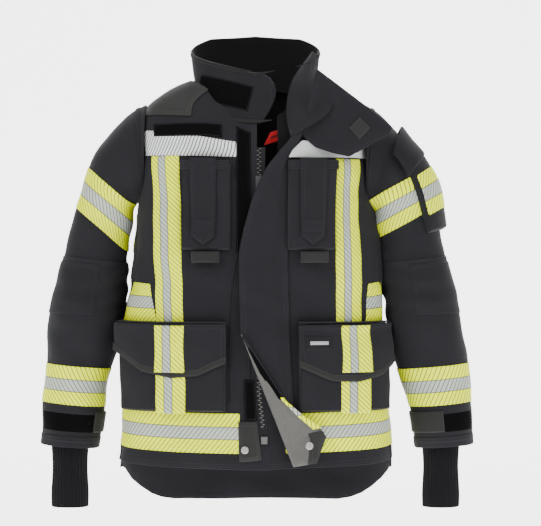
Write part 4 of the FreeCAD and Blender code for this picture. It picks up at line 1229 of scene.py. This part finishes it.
def raised(base, top, border=2):
    """Stand-off of a piece whose border comes down to its base."""
    return lambda rows, columns: base + (top - base) * crown(1.0, rows, columns, border)


def arm_band(name, side, centre, turn, body, off=0.0018, angles=FULL_TURN,
             columns=72, **extra):
    """Tape round a sleeve, following a slanted level."""
    lean = math.radians(turn)
    down = np.array([math.sin(lean) * side, 0, -math.cos(lean)])
    angle = np.linspace(*angles, columns)
    around = sleeve_surface(side, SLEEVE_SHARE[:, None] + 0 * angle, angle + 0 *
                            SLEEVE_SHARE[:, None], folds=0)
    depth = (around - np.array([side * centre[0], 0, centre[1]])) @ down
    level_at = lines(-TAPE_WIDTH / 2, TAPE_WIDTH / 2, 12, 0.002)
    share = np.stack([np.interp(level_at, depth[:, k], SLEEVE_SHARE)
                      for k in range(columns)], axis=1)
    points = sleeve_surface(side, share, angle + 0 * share, off)
    along = spans(points)[1]
    uv = np.stack([along, level_at[:, None] + TAPE_WIDTH / 2 + 0 * along], axis=-1)
    middle = np.array([side * centre[0], 0, centre[1]])
    return cloth_piece(name, points, lime_tape, 0.0012, uv=uv, sides="tb",
                       out=points - middle, body=body, **extra)


WRIST_X = 0.368
WRISTLET_TOP = -0.668
WRISTLET_LENGTH = 0.165


def cuff_parts(side):
    """Loop strip, closing tab and wristlet of one cuff."""
    word = SIDE_NAME[side]
    body = f"lower_sleeve_{word}"
    strip, tab = {RIGHT: ((0.55, 2.85), (-0.35, 0.62)), LEFT: ((1.50, 2.75), (-0.3, 1.62))}[side]
    sleeve_piece(f"cuff_loop_strip_{word}", side, (-0.645, -0.684), strip,
                 raised(0.0004, 0.0022), hook_pile, body, 10, 40, thick=0.0018,
                 nodes=(f"cuff_loop_strip_{word}",), slot="hook_loop")
    closing = sleeve_piece(f"cuff_tab_{word}", side, (-0.640, -0.682), tab,
                           raised(0.0034, 0.0058), trim_cloth, f"cuff_tab_{word}", 12, 26,
                           thick=0.0022, nodes=(f"cuff_tab_{word}",), slot="strap_cloth")
    wristlet(side)


def wristlet(side):
    """Knitted wristlet that hangs out of the cuff."""
    word = SIDE_NAME[side]
    angle = np.linspace(*FULL_TURN, 97)[None, :]
    run = lines(0, 1, 60, 0.01)[:, None]
    grow = np.clip(1 - run / 0.28, 0, 1) ** 1.3
    ribs = 0.0006 * np.cos(angle * 34) * (1 - grow)
    wide = 0.0355 + 0.0145 * grow + ribs + 0.0012 * np.sin(run * 9)
    deep = 0.0295 + 0.0145 * grow + ribs
    z = WRISTLET_TOP - WRISTLET_LENGTH * run + 0 * angle
    x = side * (WRIST_X - wide * np.cos(angle))
    y = -deep * np.sin(angle)
    points = np.stack([x, y, z], axis=-1)
    uv = np.stack([angle * 0.034 + 0 * run, WRISTLET_LENGTH * run + 0 * angle], axis=-1)
    knitted = cloth_piece(f"wristlet_{word}", points, wrist_knit, 0.0024, uv=uv, sides="b",
                          out=points - np.array([side * WRIST_X, 0, 0]),
                          body=f"lower_sleeve_{word}", nodes=(f"wristlet_{word}",), slot="knit")


def build_sleeve(side):
    """Both parts of one sleeve with their tapes and trim."""
    word = SIDE_NAME[side]
    sleeve_piece(f"upper_sleeve_{word}", side, (-0.135, -0.352), FULL_TURN, 0.0, shell_cloth,
                 upper_blend(side), 70, 96, thick=0.0022, sides="t", inside=dark_lining,
                 nodes=(f"upper_sleeve_{word}",), slot="sleeve_cloth")
    sleeve_piece(f"lower_sleeve_{word}", side, (-0.344, -0.712), FULL_TURN, 0.0018, shell_cloth,
                 lower_blend(side), 110, 96, thick=0.0022, sides="tb",
                 inside=dark_lining, nodes=(f"lower_sleeve_{word}",), slot="sleeve_cloth")
    sleeve_piece(f"elbow_patch_{word}", side, (-0.352, -0.452), (1.35, 4.6),
                 raised(0.0018, 0.0036), edge_cloth, lower_blend(side), 34, 60,
                 thick=0.0014, slot="sleeve_cloth")
    sleeve_piece(f"armhole_seam_{word}", side, (-0.1385, -0.1405), FULL_TURN,
                 raised(0.0004, 0.0022), edge_cloth, upper_blend(side), 5, 96,
                 thick=0.001, sides="", slot="sleeve_cloth")
    sleeve_piece(f"cuff_edge_{word}", side, (-0.692, -0.711), FULL_TURN, 0.0030, edge_cloth,
                 f"lower_sleeve_{word}", 8, 96, thick=0.001, sides="tb",
                 slot="sleeve_cloth")
    upper_centre, upper_turn = {RIGHT: ((0.286, -0.249), 40),
                                LEFT: ((0.296, -0.230), 29)}[side]
    arm_band(f"upper_arm_tape_{word}", side, upper_centre, upper_turn, upper_blend(side),
             nodes=(f"upper_arm_tape_{word}",), slot="bright_tape")
    arm_band(f"lower_arm_tape_{word}", side, (0.356, -0.592), 5, f"lower_sleeve_{word}",
             off=0.0034, nodes=(f"lower_arm_tape_{word}",), slot="bright_tape")
    cuff_parts(side)


def sleeve_pocket():
    """Pocket and flap on the outside of the left upper arm, and its tape."""
    body = "upper_sleeve_left"
    sleeve_piece("sleeve_pocket", LEFT, (-0.178, -0.300), (2.05, 4.25),
                 raised(0.0008, 0.0145, 3), shell_cloth, body, 34, 44, thick=0.0022,
                 nodes=("sleeve_pocket",), slot="shell_cloth")
    flap = sleeve_piece("sleeve_pocket_flap", LEFT, (-0.166, -0.206), (1.9, 4.4),
                        raised(0.0145, 0.0185), edge_cloth, "sleeve_pocket_flap", 20, 44,
                        thick=0.0022, nodes=("sleeve_pocket_flap",), slot="shell_cloth")
    arm_band("sleeve_pocket_tape", LEFT, (0.296, -0.238), 29, body, off=0.0165,
             angles=(2.15, 4.15), columns=34, slot="bright_tape")


# ------------------------------------------------------------------ stage

CAMERA_LENS = 134
CAMERA_SENSOR = 36
CAMERA_PLACE = (0.030, -4.0, -0.351)


def stage():
    """Pale floor that curves up into a backdrop, soft lights and the camera."""
    profile = [(-4.5, -1.5), (1.4, -1.5), (1.9, -1.42), (2.2, -1.1), (2.25, -0.6),
               (2.25, 2.6)]
    rows = resample(profile, 40)
    vertices = [(x, y, z) for y, z in rows for x in (-4, 4)]
    faces = [(2 * k, 2 * k + 1, 2 * k + 3, 2 * k + 2) for k in range(len(rows) - 1)]
    graph = Graph("paper", 0.9, Emission_Color=(1, 1, 1, 1), Emission_Strength=2.3)
    tone = graph.mix(graph.noise(2), (0.93, 0.93, 0.93), (0.95, 0.95, 0.95))
    floor = new_mesh("backdrop", np.array(vertices), faces,
                     np.array(vertices)[:, :2], np.ones(len(vertices)))
    floor.data.materials.append(graph.colour(tone))
    world = bpy.data.worlds.new("studio")
    bpy.context.scene.world = world
    world.use_nodes = True
    world.node_tree.nodes["Background"].inputs[0].default_value = (1, 1, 1, 1)
    world.node_tree.nodes["Background"].inputs[1].default_value = 0.6
    lamps = {"key": ((-1.9, -2.6, 1.9), 95, 1.7), "fill": ((2.3, -2.4, 0.9), 55, 2.0),
             "rim": ((0.6, 1.2, 2.2), 40, 1.4), "paper_light": ((0, -0.2, 2.4), 60, 2.5)}
    for name, (place, power, size) in lamps.items():
        light = bpy.data.lights.new(name, "AREA")
        light.energy = power
        light.size = size
        lamp = bpy.data.objects.new(name, light)
        lamp.location = place
        target = Vector((0, 0, -0.35)) if name != "paper_light" else Vector((0, 1.6, -0.3))
        lamp.rotation_euler = (target - Vector(place)).to_track_quat("-Z", "Y").to_euler()
        bpy.context.scene.collection.objects.link(lamp)
    lens = bpy.data.cameras.new("camera")
    lens.lens = CAMERA_LENS
    lens.sensor_width = CAMERA_SENSOR
    camera = bpy.data.objects.new("camera", lens)
    camera.location = CAMERA_PLACE
    camera.rotation_euler = (math.radians(90), 0, 0)
    bpy.context.scene.collection.objects.link(camera)
    bpy.context.scene.camera = camera


def finish_metal():
    """Metals of the CAD pieces that stay in view."""
    worn = {"zip_slider": slider_metal, "zip_pull": slider_metal,
            "snap_stud": snap_metal, "snap_socket": snap_metal}
    for name, material in worn.items():
        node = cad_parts[name]
        node.data.materials.clear()
        node.data.materials.append(material)


build_torso()
build_tapes()
build_pockets()
front_closure()
collar()
neck_details()
throat_tab()
for side in (RIGHT, LEFT):
    build_sleeve(side)
sleeve_pocket()
finish_metal()
stage()
